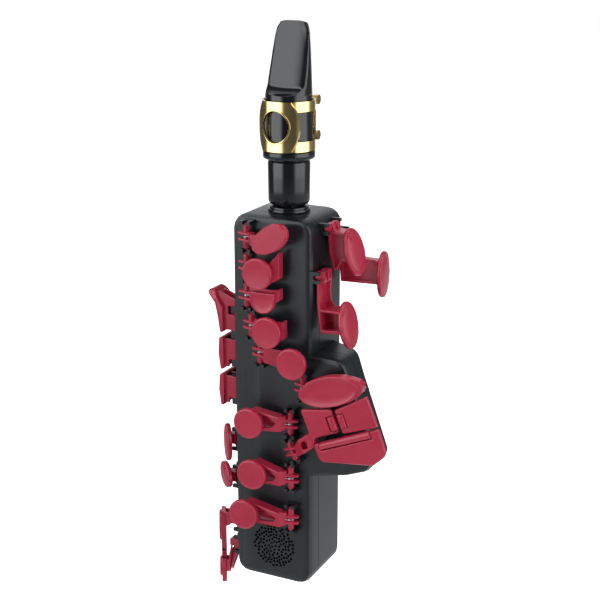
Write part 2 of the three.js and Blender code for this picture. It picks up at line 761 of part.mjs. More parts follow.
function sideKey({ low, high, flare }) {
  const bottom = low * keyPitch;
  const top = high * keyPitch;
  const out = -sideKeyReach;
  const tip = out - flareReach;
  const middle = (bottom + top) / 2;
  const inner = [
    [out + sideKeyBow, bottom],
    [out + sideKeyThickness, bottom],
    [out + sideKeyThickness, flare ? top - flareRise / 2 : top],
  ];
  const straight = [
    [out + sideKeyBow / 2, top],
    [out, middle],
  ];
  const flared = [
    [tip + sideKeyThickness, top + flareRise],
    [tip, top + flareRise - sideKeyThickness / 2],
    [out - flareReach / 4, top - flareRise / 6],
    [out, middle],
  ];
  const face = outline([...inner, ...(flare ? flared : straight)], sideKeyThickness / 3);
  const touch = slab(face, sideKeyDepth, sideways, [sidePlateAhead - sideKeyDepth, 0, 0]);
  const webFront = sidePlateAhead - sideWebRecess;
  const earMiddle = (flare ? 1 : -1) * (sideBarrelLength / 2 + clearance + sideEarThickness / 2);
  const earHalf = sideEarThickness / 2 + 2 * clearance;
  const gapLow = [-sideKeyDepth, -barrelRadius - keyWall, earMiddle - earHalf];
  const gap = block(gapLow, [sideKeyDepth, sidePinRise, earMiddle + earHalf]);
  const webs = [webFront - keyWall, webFront - sideWebGap - 2 * keyWall].map((x) => {
    const near = sidePinRise - 3 * clearance;
    const flareTip = [tip + 2 * sideKeyThickness, top + flareRise - keyWall];
    const head = flare
      ? [[near, top + keyWall], flareTip, [out + keyWall, middle]]
      : [[near, top - keyWall], [out + keyWall, top - keyWall]];
    const foot = [out + sideKeyThickness - keyWall / 2, bottom + keyWall];
    const shape = outline([[near, bottom + keyWall], ...head, foot]);
    return cut(slab(shape, keyWall, sideways, [x, 0, 0]), gap);
  });
  const hubLow = [webFront - sideWebGap - 2 * keyWall, hubY, -sideBarrelLength / 3];
  const hub = block(hubLow, [webFront, 0, sideBarrelLength / 3]);
  return join(pin(sideBarrelLength), touch, ...webs, hub);
}

// Side trill keys: an oval touch on a stem, turned to the front
const trillKeys = {
  side_key_high_f_sharp: { z: 4.8, touch: [0.232, 0.138, -0.132], size: [1.348, 0.596], turn: 45, lean: 3 },
  side_key_f_sharp: { z: 3.4, touch: [0.301, 0.176, 0.063], size: [0.94, 0.715], turn: 54, lean: 26 },
};
const trillThickness = 2.6;

function trillKey({ touch, size, turn, lean }) {
  const [out, ahead, up] = [-touch[0] * keyPitch, touch[1] * keyPitch, touch[2] * keyPitch];
  const [halfLength, halfWidth] = size.map((share) => (share * keyPitch) / 2);
  const shape = oval(0, 0, halfLength, halfWidth, Math.PI / 2 + THREE.MathUtils.degToRad(lean));
  const plateSolid = slab(shape, trillThickness, facing, [0, 0, 0], pearlRim, ovalSteps);
  const place = new THREE.Matrix4().makeRotationZ(THREE.MathUtils.degToRad(turn));
  place.setPosition(ahead, out, up);
  const stemHalf = sideBarrelLength / 3;
  const stem = block([-keyWall, out - keyWall / 2, -stemHalf], [ahead + keyWall / 2, 0, stemHalf]);
  return join(pin(sideBarrelLength), moved(plateSolid, place), stem);
}

// Low keys for the little finger on the left side: upright plates with a roller between them
const pinkyReach = 10.2;
const pinkyThickness = 2.6;
const pinkyDepth = 14;
const pinkyCorner = 8;
const pinkyGap = 0.5;
const pinkyRollerLength = 9.6;
const pinkyJunctionZ = 0.288 * keyPitch;
const pinkyRollerOffset = smallRollerRadius + 3 * clearance;
const pinkyKeys = {
  low_key_e_flat: { z: 1.63, low: pinkyJunctionZ + pinkyGap / 2, high: 1.881 * keyPitch },
  low_key_c: { z: 0.78, low: -0.865 * keyPitch, high: pinkyJunctionZ - pinkyGap / 2 },
};
const pinkyBarrelLength = 0.376 * keyPitch;
const pinkyPad = 1.3;
const pinkyWebHeight = 0.44 * keyPitch;

const pinkyTurn = THREE.MathUtils.degToRad(28);

// Place of a low key's plate from its hinge: the plate's front edge leans towards the casing
function pinkyLean() {
  return new THREE.Matrix4().makeRotationZ(pinkyTurn).setPosition(plateSetback, -pinkyReach, 0);
}

function pinkyKey({ z, low, high }) {
  const hinge = z * keyPitch;
  const [bottom, top] = [low - hinge, high - hinge];
  const upper = top + hinge > pinkyJunctionZ;
  const face = [[-pinkyDepth, bottom], [0, bottom], [0, top], [-pinkyDepth, top]];
  const round = upper ? [keyWall, keyWall, keyWall, pinkyCorner] : [pinkyCorner, keyWall, keyWall, keyWall];
  const touch = slab(outline(face, round), pinkyThickness, facing, [0, pinkyThickness, 0]);
  const rollerZ = pinkyJunctionZ - hinge + (upper ? pinkyRollerOffset : -pinkyRollerOffset);
  const slot = smallRollerRadius + clearance;
  const notchFrom = upper ? bottom - overrun : rollerZ - slot;
  const notchTo = upper ? rollerZ + slot : top + overrun;
  const inset = (pinkyDepth - pinkyRollerLength) / 2 - clearance;
  const notch = block([inset - pinkyDepth, -overrun, notchFrom], [-inset, pinkyThickness + overrun, notchTo]);
  const axleY = pinkyThickness / 2;
  const boreEnd = [inset - pinkyDepth - rollerAxleReach, axleY, rollerZ];
  const bore = rod([overrun, axleY, rollerZ], boreEnd, rollerAxleRadius + clearance, journalFacets);
  const padMiddle = (upper ? (rollerZ + slot + top) : (bottom + rollerZ - slot)) / 2;
  const padHalf = Math.abs((upper ? top - rollerZ : rollerZ - bottom) - slot) / 2 - keyWall;
  const padShape = oval(-pinkyDepth / 2, padMiddle, pinkyDepth / 2 - keyWall, padHalf);
  const pad = slab(padShape, pinkyPad + keyWall / 2, facing, [0, keyWall / 2, 0], keyWall / 2, ovalSteps);
  const plateSolid = moved(join(cut(touch, notch, bore), pad), pinkyLean());
  const webHigh = upper ? pinkyBarrelLength / 1.5 : rollerZ - slot - clearance;
  const webLow = upper ? -pinkyBarrelLength / 1.5 : webHigh - pinkyWebHeight;
  const webs = [0, -sideWebGap].map((x) => {
    const reach = -pinkyReach + keyWall - (plateSetback - x) * Math.tan(pinkyTurn);
    const behind = -pinkyReach + pinkyThickness + 3 * clearance;
    const web = outline([
      [hubY, -pinkyBarrelLength / 3],
      [hubY, pinkyBarrelLength / 3],
      [behind, webHigh + keyWall],
      [behind, webHigh],
      [reach, webHigh],
      [reach, webLow],
      [behind, webLow],
    ]);
    return slab(web, keyWall, sideways, [x, 0, 0]);
  });
  const hubHalf = pinkyBarrelLength / 3;
  const hub = block([-sideWebGap, hubY - keyWall, -hubHalf], [keyWall, 0, hubHalf]);
  return join(pin(pinkyBarrelLength), plateSolid, ...webs, hub);
}

// Palm keys on the right side: a box arm, open to the front, hangs from the pin and carries an oval
// touch. Local +X runs down, local -Y out of the casing and local Z to the back
const palmRight = new THREE.Matrix4().makeBasis(axisZ.clone().negate(), axisX.clone().negate(), axisY);
const palmKeys = {
  palm_key_d: {
    y: -0.28125 * casingDepth,
    z: 11.02,
    length: 0.2825 * casingDepth,
    armShares: [
      [-0.157, -0.063], [-0.157, 0.182], [0.063, 0.219], [0.564, 0.182], [0.89, 0.207],
      [1.066, 0.351], [1.103, 0.878], [1.85, 0.878], [1.912, 0.088], [0.947, -0.056],
    ],
    depthShares: [-0.10375, 0.2425],
    hollow: 0.87,
    rib: 1.105,
    touchShares: [1.63, 0.915, 0.05125],
    face: [-9.5, 10],
  },
  palm_key_e_flat: {
    y: -0.0025 * casingDepth,
    z: 12.47,
    length: 0.315 * casingDepth,
    armShares: [
      [-0.138, -0.063], [-0.138, 0.113], [0.094, 0.219], [0.157, 0.784],
      [1.097, 0.784], [1.097, 0.464], [1.467, 0.213], [0.853, 0.025],
    ],
    depthShares: [-0.075, 0.215],
    hollow: 0.22,
    rib: 0,
    touchShares: [0.79, 0.834, 0.015],
    face: [-12, 16],
  },
  palm_key_f: {
    y: 0.315 * casingDepth,
    z: 12.04,
    length: 0.2 * casingDepth,
    armShares: [
      [-0.125, -0.063], [-0.125, 0.125], [0.188, 0.251], [0.721, 0.376],
      [0.752, 1.379], [1.542, 1.379], [1.58, 0.05], [0.752, 0],
    ],
    depthShares: [-0.045, 0.15],
    hollow: 0.22,
    rib: 0,
    touchShares: [1.273, 1.423, 0.1],
    face: [4, 0],
  },
};
const palmRadiusShare = 0.25;

function palmHinge({ y, z }) {
  return palmRight.clone().setPosition(sideX + sidePinRise, y, z * keyPitch);
}

// Shares are of the key pitch down and out, and of the casing's depth across
function palmKey({ length, armShares, depthShares, hollow, rib, touchShares, face }) {
  const points = armShares.map(([down, out]) => [down * keyPitch, -out * keyPitch]);
  const [front, depth] = depthShares.map((share) => share * casingDepth);
  const shape = outline(points, keyWall * palmRadiusShare);
  const middle = points.reduce(([a, b], [x, y]) => [a + x / points.length, b + y / points.length], [0, 0]);
  const inner = points.map(([x, y]) => {
    const towards = new THREE.Vector2(middle[0] - x, middle[1] - y).normalize();
    return [x + towards.x * keyWall * 1.4, y + towards.y * keyWall * 1.4];
  });
  const box = slab(shape, depth, lying, [0, 0, front]);
  const inside = slab(outline(inner), hollow * depth + overrun, lying, [0, 0, front - overrun]);
  const belowLow = [2 * barrelRadius, -2 * palmLength, front - overrun];
  const below = block(belowLow, [2 * palmLength, barrelRadius, front + depth]);
  const slotLow = [-2 * barrelRadius, -2 * barrelRadius, front + forkHeight];
  const slot = block(slotLow, [1.5 * barrelRadius, 2 * barrelRadius, front + forkHeight + forkSlot]);
  const pocket = inside.intersect(below);
  const ribLow = [rib * keyPitch, -2 * palmLength, front - 2 * overrun];
  const ribHigh = [rib * keyPitch + keyWall, barrelRadius, front + depth];
  const shell = cut(box, rib > 0 ? cut(pocket, block(ribLow, ribHigh)) : pocket, slot);
  const padShape = oval(0, 0, palmWidth / 2, palmLength / 2);
  const pad = slab(padShape, palmThickness, facing, [0, 0, 0], pearlRim, ovalSteps);
  const place = new THREE.Matrix4().makeRotationY(Math.PI / 2);
  place.premultiply(new THREE.Matrix4().makeRotationZ(-THREE.MathUtils.degToRad(face[1])));
  place.premultiply(new THREE.Matrix4().makeRotationX(-THREE.MathUtils.degToRad(face[0])));
  const [down, out, back] = touchShares;
  place.setPosition(down * keyPitch, -out * keyPitch + palmThickness / 2, back * casingDepth);
  return join(pin(length), shell, moved(pad, place));
}

// Octave key on the back, for the thumb: local +X runs up, local -Y out of the back, local Z across
const backUp = new THREE.Matrix4().makeBasis(axisZ, axisY.clone().negate(), axisX);
const octaveHingeZ = 11.536 * keyPitch;
const octaveBarrelLength = 17;
const octaveDrop = 1.505 * keyPitch;

function octaveHinge() {
  return backUp.clone().setPosition(0, backY + frontPinRise, octaveHingeZ);
}

function octaveKey() {
  const points = [
    [-barrelRadius / 2, barrelRadius],
    [-barrelRadius, -barrelRadius],
    [-octaveDrop / 3, -octaveRise],
    [-octaveDrop, -octaveRise],
    [-octaveDrop, -octaveRise - 2 * keyWall],
    [-octaveDrop / 3, -octaveRise - 2 * keyWall],
    [barrelRadius / 2, -barrelRadius],
  ];
  const plateWidth = octaveWidth - 2 * clearance;
  const plateForm = slab(outline(points, keyWall), plateWidth, lying, [0, 0, -plateWidth / 2]);
  return join(pin(octaveBarrelLength), plateForm);
}

// Thumb rest, thumb hook and strap ring on the back
const restZ = 9.279 * keyPitch;
const hookZ = 3.762 * keyPitch;
const strapZ = 7.022 * keyPitch;
const strapBase = 9;

function thumbRest() {
  const y = backY + clearance;
  const profile = [
    [0, 0],
    [restRadius, 0],
    [restRadius, restThickness / 2],
    [restRadius - restThickness / 2, restThickness],
    [0, restThickness * 0.8],
  ];
  const pad = turned(profile, pearlFacets, [0, y, restZ], faceBack);
  const studEnd = [0, y + restThickness / 2, restZ];
  const stud = rod([0, backY - wall - clearance, restZ], studEnd, bossRadius / 2, journalFacets);
  return join(pad, stud);
}

function thumbHook() {
  const y = backY + clearance;
  const points = [
    [y, hookZ - hookLength / 2],
    [y + hookThickness, hookZ - hookLength / 2],
    [y + hookThickness, hookZ + hookLength / 6],
    [y + hookReach - hookThickness, hookZ + hookLength / 6],
    [y + hookReach - hookThickness, hookZ - hookLength / 4],
    [y + hookReach, hookZ - hookLength / 4],
    [y + hookReach, hookZ + hookLength / 6 + hookThickness],
    [y + hookThickness, hookZ + hookLength / 6 + hookThickness],
    [y + hookThickness, hookZ + hookLength / 2],
    [y, hookZ + hookLength / 2],
  ];
  return slab(outline(points, hookThickness * 0.7), hookWidth, sideways, [-hookWidth / 2, 0, 0]);
}

function strapRing() {
  const y = backY + clearance;
  const high = [strapBase / 2, y + hookThickness, strapZ + strapBase];
  const plateSolid = block([-strapBase / 2, y, strapZ - strapBase], high);
  const ring = new THREE.TorusGeometry(strapRadius, strapWire, journalFacets, pearlFacets);
  ring.rotateY(Math.PI / 2);
  ring.translate(0, y + hookThickness + strapRadius - strapWire / 2, strapZ);
  return join(plateSolid, toSolid(ring));
}

// Power button: a cap with a flange behind the wall
const buttonX = 13;
const buttonZ = 9.906 * keyPitch;
const buttonProud = 1.3;

function powerButton() {
  const seat = backY - wall - clearance;
  const face = [buttonX, backY + buttonProud, buttonZ];
  const cap = rod([buttonX, seat, buttonZ], face, buttonRadius, barrelFacets);
  const under = [buttonX, seat - keyWall, buttonZ];
  const flange = rod(under, [buttonX, seat, buttonZ], buttonRadius + buttonFlange, barrelFacets);
  return join(cap, flange);
}

// Mouthpiece: a turned body cut to its beak and table, with a bore and a window under the reed
const mouthpieceFoot = casingHeight + mouthpieceLift;
const beakFoot = 0.614 * mouthpieceLength;
const reedFoot = shankLength + shankEdge + reedSetback;
const reedLength = mouthpieceLength - reedFoot;
const tipOpening = 1.6;
const facingLength = 0.26 * mouthpieceLength;
const boreRadius = neckRadius + corkThickness + 2 * clearance;
const throatRadius = 5.5;
const reedCutShare = 0.52;
const reedTipShare = 0.16;
const windowWidth = 10.4;
const windowTop = 0.9 * mouthpieceLength;

const mouthpieceFacets = 44;
// Shares of the mouthpiece's length, each with a share of the body's radius: how the body tapers, how deep
// the beak is cut in front, half the width of the cut face and half the width of the whole
const taperShares = [[0.3, 1], [0.6, 0.955], [0.8, 0.9], [0.9, 0.865], [1, 0.78]];
const frontShares = [[0.612, -1.1], [0.616, -0.66], [0.63, -0.47], [0.66, -0.35], [0.72, -0.21], [1, 0.37]];
const faceShares = [[0.6, 0.92], [0.68, 0.77], [0.8, 0.7], [0.9, 0.62], [0.97, 0.5], [1, 0.28]];
const beakShares = [[0.6, 1], [0.68, 0.93], [0.76, 0.89], [0.86, 0.82], [0.966, 0.69], [0.99, 0.6], [1, 0.4]];
const beakRingShares = [0.5, 0.608, 0.612, 0.616, 0.63, 0.66, 0.72, 0.78, 0.84, 0.9, 0.94, 0.97, 0.989, 1];
const edgeSharpness = 18;

// A share read off between the rows of a table
function between(shares, up) {
  if (up <= shares[0][0]) return shares[0][1];
  for (let i = 1; i < shares.length; i += 1) {
    const [low, from] = shares[i - 1];
    const [high, to] = shares[i];
    if (up <= high) return from + ((to - from) * (up - low)) / (high - low);
  }
  return shares[shares.length - 1][1];
}

// A closed skin over rings of points, lowest ring first
function loft(rings) {
  const count = rings[0].length;
  const middles = [rings[0], rings[rings.length - 1]].map((ring) => {
    return ring.reduce((sum, point) => sum.add(point), new THREE.Vector3()).divideScalar(count);
  });
  const points = [...rings.flat(), ...middles];
  const corners = [];
  const foot = rings.length * count;
  for (let k = 0; k < count; k += 1) {
    const next = (k + 1) % count;
    corners.push(foot, next, k, foot + 1, foot - count + k, foot - count + next);
    for (let i = 0; i + 1 < rings.length; i += 1) {
      const [a, b] = [i * count + k, i * count + next];
      corners.push(a, b, b + count, a, b + count, a + count);
    }
  }
  const geometry = new THREE.BufferGeometry().setFromPoints(points);
  geometry.setIndex(corners);
  return toSolid(geometry);
}

function roundRing(radius, height) {
  return Array.from({ length: mouthpieceFacets }, (_, k) => {
    const angle = (2 * Math.PI * k) / mouthpieceFacets;
    return new THREE.Vector3(radius * Math.sin(angle), -radius * Math.cos(angle), height);
  });
}

// One ring of the beak: a circle cut off in front, chamfered at both sides and narrowed
function beakRing(up) {
  const radius = bodyRadius * between(taperShares, up);
  const front = Math.max(bodyRadius * between(frontShares, up), -radius);
  const back = Math.min(tableSetback, radius);
  const face = bodyRadius * between(faceShares, up);
  const width = bodyRadius * between(beakShares, up);
  const middle = (front + back) / 2;
  const chamfer = new THREE.Vector2(middle - front, -Math.max(width - face, clearance)).normalize();
  return Array.from({ length: mouthpieceFacets }, (_, k) => {
    const angle = (2 * Math.PI * k) / mouthpieceFacets;
    const [across, ahead] = [Math.sin(angle), -Math.cos(angle)];
    const limits = [-middle * ahead + Math.sqrt((middle * ahead) ** 2 + radius ** 2 - middle ** 2)];
    if (front > -radius) {
      const sideways = chamfer.x * Math.abs(across) + chamfer.y * ahead;
      if (ahead < 0) limits.push((middle - front) / -ahead);
      if (sideways > 0) limits.push((chamfer.x * face + chamfer.y * (front - middle)) / sideways);
      if (across !== 0) limits.push(width / Math.abs(across));
    }
    const reach = limits.reduce((sum, limit) => sum + limit ** -edgeSharpness, 0) ** (-1 / edgeSharpness);
    return new THREE.Vector3(reach * across, middle + reach * ahead, up * mouthpieceLength);
  });
}

function mouthpiece() {
  const profile = [
    [shankRadius - shankEdge, 0],
    [shankRadius - 0.3 * shankEdge, 0.3 * shankEdge],
    [shankRadius, shankEdge],
    [shankRadius, shankLength - shankEdge],
    [shankRadius - 0.2 * shankEdge, shankLength - 0.2 * shankEdge],
    [bodyRadius - shankEdge / 2, shankLength + 0.2 * shankEdge],
    [bodyRadius, shankLength + 1.2 * shankEdge],
    [bodyRadius, 0.3 * mouthpieceLength],
  ];
  const rings = profile.map(([radius, height]) => roundRing(radius, height));
  const body = loft([...rings, ...beakRingShares.map(beakRing)]);
  const side = [
    [-bodyRadius - overrun, -overrun],
    [bodyRadius + overrun, -overrun],
    [bodyRadius + overrun, shankLength + shankEdge + overrun],
    [tableSetback, shankLength + shankEdge + overrun],
    [tableSetback, mouthpieceLength - facingLength],
    [tableSetback - tipOpening, mouthpieceLength],
    [tableSetback - tipOpening, mouthpieceLength + overrun],
    [-bodyRadius - overrun, mouthpieceLength + overrun],
  ];
  const tall = 2 * bodyRadius + 2 * overrun;
  const sideForm = slab(outline(side), tall, sideways, [-tall / 2, 0, 0]);
  const bore = rod([0, 0, -overrun], [0, 0, boreDepth], boreRadius, pearlFacets);
  const throat = rod([0, 0, boreDepth - overrun], [0, 0, beakFoot + overrun], throatRadius, barrelFacets);
  const windowLow = [-windowWidth / 2, 0.35 * tableSetback, beakFoot - 2 * overrun];
  const window = block(windowLow, [windowWidth / 2, 2 * tableSetback, windowTop]);
  return cut(body.intersect(sideForm), bore, throat, window);
}

function reed() {
  const y = tableSetback + clearance;
  const from = mouthpieceLength - reedLength;
  const outer = bodyRadius - clearance / 3;
  const tip = mouthpieceLength - clearance;
  const side = [
    [y, from],
    [y + reedHeel + overrun, from],
    [y + reedHeel + overrun, mouthpieceLength - reedCutShare * reedLength],
    [y + reedTipShare * reedHeel, tip],
    [y, tip],
  ];
  const front = [[-heelWidth / 2, from], [heelWidth / 2, from], [tipWidth / 2, tip], [-tipWidth / 2, tip]];
  const round = rod([0, 0, from], [0, 0, mouthpieceLength], outer, bodyFacets);
  const sideForm = slab(outline(side), 2 * bodyRadius, sideways, [-bodyRadius, 0, 0]);
  const frontShape = outline(front, [0, 0, tipWidth / 3, tipWidth / 3]);
  const frontForm = slab(frontShape, 2 * bodyRadius, facing, [0, 2 * bodyRadius, 0]);
  return round.intersect(sideForm).intersect(frontForm);
}

// Ligature: two bands joined by an eye in front, with lugs and screws at the reed
const ligatureFoot = reedFoot + ligatureRise;
const lugInner = 2.4;
const lugReach = 5.6;
const lugScrew = 3.4;
const eyeRise = 0.6;
const screwHeights = [
  ligatureFoot + ligatureBandHeight,
  ligatureFoot + ligatureHeight - ligatureLug / 2,
];

function ligature() {
  const inner = bodyRadius + clearance;
  const outer = inner + ligatureWall;
  const tube = (r, low, high) => rod([0, 0, low], [0, 0, high], r, bodyFacets);
  const top = ligatureFoot + ligatureHeight;
  const ring = cut(tube(outer, ligatureFoot, top), tube(inner, ligatureFoot - overrun, top + overrun));
  const middle = (ligatureFoot + top) / 2;
  const windowHalf = ligatureHeight / 2 - ligatureBandHeight;
  const hole = (x, z) => slab(oval(0, middle, x, z), outer + overrun, facing, [0, 0, 0], 0, eyeSteps);
  const eye = hole(ligatureEyeWidth / 2, ligatureEyeHeight / 2);
  const eyeRim = hole(ligatureEyeWidth / 2 + ligatureEyeRim, ligatureEyeHeight / 2 + ligatureEyeRim);
  const gapHigh = [outer + overrun, 0.45 * outer, middle + windowHalf];
  const gap = block([-outer - overrun, -outer - overrun, middle - windowHalf], gapHigh);
  const slit = block([-lugInner, 0, ligatureFoot - overrun], [lugInner, outer + overrun, top + overrun]);
  const bands = cut(ring, gap, slit);
  const eyeOuter = outer + eyeRise;
  const shell = cut(tube(eyeOuter, ligatureFoot, top), tube(inner, ligatureFoot - overrun, top + overrun));
  const open = join(bands, cut(shell.intersect(eyeRim), eye));
  const lugs = [];
  for (const height of screwHeights) {
    for (const side of [-1, 1]) {
      const from = Math.min(side * lugInner, side * (lugInner + ligatureLug));
      const low = [from, outer - 2 * ligatureWall, height - ligatureLug / 2];
      const high = [from + ligatureLug, outer + lugReach, height + ligatureLug / 2];
      lugs.push(cut(block(low, high), tube(inner, low[2] - overrun, high[2] + overrun)));
    }
  }
  const bores = screwHeights.map((height) => {
    const y = outer + lugScrew;
    return rod([-2 * outer, y, height], [2 * outer, y, height], screwRadius + clearance, barrelFacets);
  });
  return cut(join(open, ...lugs), ...bores);
}

function ligatureScrew() {
  const end = lugInner + ligatureLug + clearance;
  const shank = rod([-end, 0, 0], [end + overrun, 0, 0], screwRadius, barrelFacets);
  const head = rod([end, 0, 0], [end + screwHeadLength, 0, 0], screwHeadRadius, barrelFacets);
  const tail = rod([-end - keyWall, 0, 0], [-end, 0, 0], screwRadius + clearance, barrelFacets);
  return join(shank, head, tail);
}

// Neck: a collar on the casing's top, a tube through it and a cork sleeve inside the mouthpiece
const spigotRadius = 8.6;
const spigotDrop = 5;
const neckTop = casingHeight + mouthpieceLift + boreDepth - overrun;
const neckFlange = 1.6;

function neckCollar() {
  const low = casingHeight + clearance;
  const profile = [
    [0, 0],
    [collarRadius, 0],
    [collarRadius, 0.7 * collarHeight],
    [collarRadius - 0.3 * collarHeight, collarHeight],
    [0, collarHeight],
  ];
  const flange = turned(profile, pearlFacets, [neckX, 0, low]);
  const foot = casingHeight - spigotDrop;
  const spigot = rod([neckX, 0, foot], [neckX, 0, low + overrun], spigotRadius, pearlFacets);
  const boreTop = [neckX, 0, low + collarHeight + overrun];
  const bore = rod([neckX, 0, foot - overrun], boreTop, neckRadius + clearance, pearlFacets);
  return cut(join(flange, spigot), bore);
}

function neckTube() {
  const foot = casingHeight - neckInsert;
  const tube = rod([neckX, 0, foot], [neckX, 0, neckTop], neckRadius, pearlFacets);
  const stop = casingHeight - spigotDrop - clearance;
  const flange = rod([neckX, 0, foot], [neckX, 0, stop], neckRadius + neckFlange, pearlFacets);
  const bore = rod([neckX, 0, stop], [neckX, 0, neckTop + overrun], neckBore, barrelFacets);
  const portEnd = [neckX, 0, stop + overrun];
  const port = rod([neckX, 0, foot - overrun], portEnd, tubeRadius + clearance, journalFacets);
  return cut(join(tube, flange), bore, port);
}

function corkSleeve() {
  const low = casingHeight + mouthpieceLift + clearance;
  const inner = neckRadius + clearance;
  const top = low + corkLength;
  const outer = rod([neckX, 0, low], [neckX, 0, top], inner + corkThickness, pearlFacets);
  return cut(outer, rod([neckX, 0, low - overrun], [neckX, 0, top + overrun], inner, pearlFacets));
}

// Inside: board, battery, speaker, breath sensor with its tube, and the sockets in the foot
const boardFootZ = 2.257 * keyPitch;
const boardTopZ = 11.661 * keyPitch;
const boardY = -5;
const batteryFootZ = 4.389 * keyPitch;
const batteryCorner = 2;
const sensorGap = 3;
const sensorLid = 2;
const sensorTopZ = casingHeight - neckInsert - sensorGap;
const usbWidth = 9;
const usbHeight = 3.4;
const usbDepth = 7.5;
const usbX = -9;
const jackRadius = 3;
const jackBore = 1.8;
const jackDepth = 12;
const jackX = 8;
const socketY = 4;
const socketSet = 0.4;

function board() {
  const half = sideX - wall - clearance;
  return block([-half, boardY, boardFootZ], [half, boardY + boardThickness, boardTopZ]);
}

function battery() {
  const y = backY - wall - clearance;
  const half = batteryWidth / 2;
  const top = batteryFootZ + batteryHeight;
  const points = [[-half, batteryFootZ], [half, batteryFootZ], [half, top], [-half, top]];
  return slab(outline(points, batteryCorner), batteryDepth, facing, [0, y, 0], batteryCorner / 2);
}

function speaker() {
  const front = frontY + wall + clearance;
  const at = (share) => [grilleX, front + share * speakerDepth, grilleZ];
  const frame = rod(at(0), at(1 / 3), speakerRadius, pearlFacets);
  const cone = rod(at(1 / 3), at(1), speakerRadius * 0.85, pearlFacets, magnetRadius);
  const magnet = rod(at(0.9), at(1.4), magnetRadius, barrelFacets);
  return join(frame, cone, magnet);
}

function breathSensor() {
  const y = boardY + boardThickness + clearance;
  const half = sensorSize / 2;
  const low = [neckX - half, y, sensorTopZ - sensorSize];
  return block(low, [neckX + half, y + sensorSize, sensorTopZ - sensorLid]);
}

function breathTube() {
  const low = sensorTopZ - sensorLid + clearance;
  const high = casingHeight - spigotDrop - neckBore;
  const bore = rod([neckX, 0, low - overrun], [neckX, 0, high + overrun], tubeBore, journalFacets);
  return cut(rod([neckX, 0, low], [neckX, 0, high], tubeRadius, journalFacets), bore);
}

function usbSocket() {
  const shell = (grow, low, high) => block(
    [usbX - usbWidth / 2 - grow, socketY - usbHeight / 2 - grow, low],
    [usbX + usbWidth / 2 + grow, socketY + usbHeight / 2 + grow, high],
  );
  return cut(shell(0, socketSet, usbDepth), shell(-usbHeight / 8, -overrun, usbDepth - overrun));
}

function headphoneSocket() {
  const outer = rod([jackX, socketY, socketSet], [jackX, socketY, jackDepth], jackRadius, barrelFacets);
  const end = [jackX, socketY, jackDepth - overrun];
  return cut(outer, rod([jackX, socketY, -overrun], end, jackBore, barrelFacets));
}

// Case screws: each runs through a tube of the back shell into a boss of the front shell
const screwPlaces = [screwFootZ, screwHeadZ].flatMap((z) => [[-screwX, z], [screwX, z]]);
const caseScrewHeadY = backY - caseScrewHeadHeight - clearance;
const caseScrewEndY = seamY - 2 * caseScrewHeadHeight - overrun;

function caseScrew([x, z]) {
  const top = [x, caseScrewHeadY + caseScrewHeadHeight, z];
  const head = rod([x, caseScrewHeadY, z], top, caseScrewHeadRadius, barrelFacets);
  const shank = rod([x, caseScrewEndY, z], [x, caseScrewHeadY + overrun, z], caseScrewRadius, journalFacets);
  return join(head, shank);
}

// Shells
const outerForm = casingForm(0);
const innerForm = casingForm(wall);
const far = 2 * casingHeight;
const frontHalf = block([-far, frontY - overrun, -far], [far, seamY - seamGap / 2, far]);
const backHalf = block([-far, seamY + seamGap / 2, -far], [far, backY + overrun, far]);

const group = new THREE.Group();

function addKey(name, solid, place, material = keyRed) {
  const mesh = part(name, solid, material);
  mesh.applyMatrix4(place);
  group.add(mesh);
}

const frontEars = [];
for (const [name, key] of Object.entries(upperKeys)) {
  const place = frontHinge(key.x, key.z * keyPitch);
  addKey(name, upperKey(key), place);
  frontEars.push(...ears(frontPinRise, barrelLength, earThickness, place));
}
for (const [name, key] of Object.entries(armKeys)) {
  const place = frontHinge(key.x, key.z * keyPitch);
  addKey(name, armKey(key), place);
  frontEars.push(...ears(frontPinRise, barrelLength, earThickness, place));
}
const sharpPlace = frontHinge(sharpHinge[0], sharpHinge[1] * keyPitch);
addKey('key_g_sharp', sharpKey(), sharpPlace);
frontEars.push(...ears(frontPinRise, barrelLength, earThickness, sharpPlace));

const tableHinges = {
  low_key_c_sharp: [lowCSharpHinge, lowCSharp, cSharpBarrelLength],
  low_key_b: [lowBHinge, lowB, lowBarrelLength],
  low_key_b_flat: [lowBFlatHinge, lowBFlat, lowBarrelLength],
};
for (const [name, [hinge, make, length]] of Object.entries(tableHinges)) {
  const place = frontHinge(...tablePoint(...hinge), tableTurn);
  addKey(name, make(), place);
  frontEars.push(...ears(frontPinRise, length, earThickness, place));
}

for (const [name, key] of Object.entries(sideKeys)) {
  const place = sideHinge(key.z * keyPitch);
  addKey(name, sideKey(key), place);
  frontEars.push(...ears(sidePinRise, sideBarrelLength, sideEarThickness, place, sideEarHalfWidth));
}
for (const [name, key] of Object.entries(trillKeys)) {
  addKey(name, trillKey(key), sideHinge(key.z * keyPitch));
  frontEars.push(...ears(sidePinRise, sideBarrelLength, earThickness, sideHinge(key.z * keyPitch)));
}
for (const [name, key] of Object.entries(pinkyKeys)) {
  addKey(name, pinkyKey(key), sideHinge(key.z * keyPitch));
  frontEars.push(...ears(sidePinRise, pinkyBarrelLength, earThickness, sideHinge(key.z * keyPitch)));
}

const backEars = [];
for (const [name, key] of Object.entries(palmKeys)) {
  const place = palmHinge(key);
  addKey(name, palmKey(key), place);
  const [nearEar, farEar] = ears(sidePinRise, key.length, earThickness, place);
  const nearInFront = key.y - key.length / 2 < seamY;
  (nearInFront ? frontEars : backEars).push(nearEar);
  backEars.push(farEar);
}
addKey('octave_key', octaveKey(), octaveHinge());
backEars.push(...ears(frontPinRise, octaveBarrelLength, earThickness, octaveHinge()));

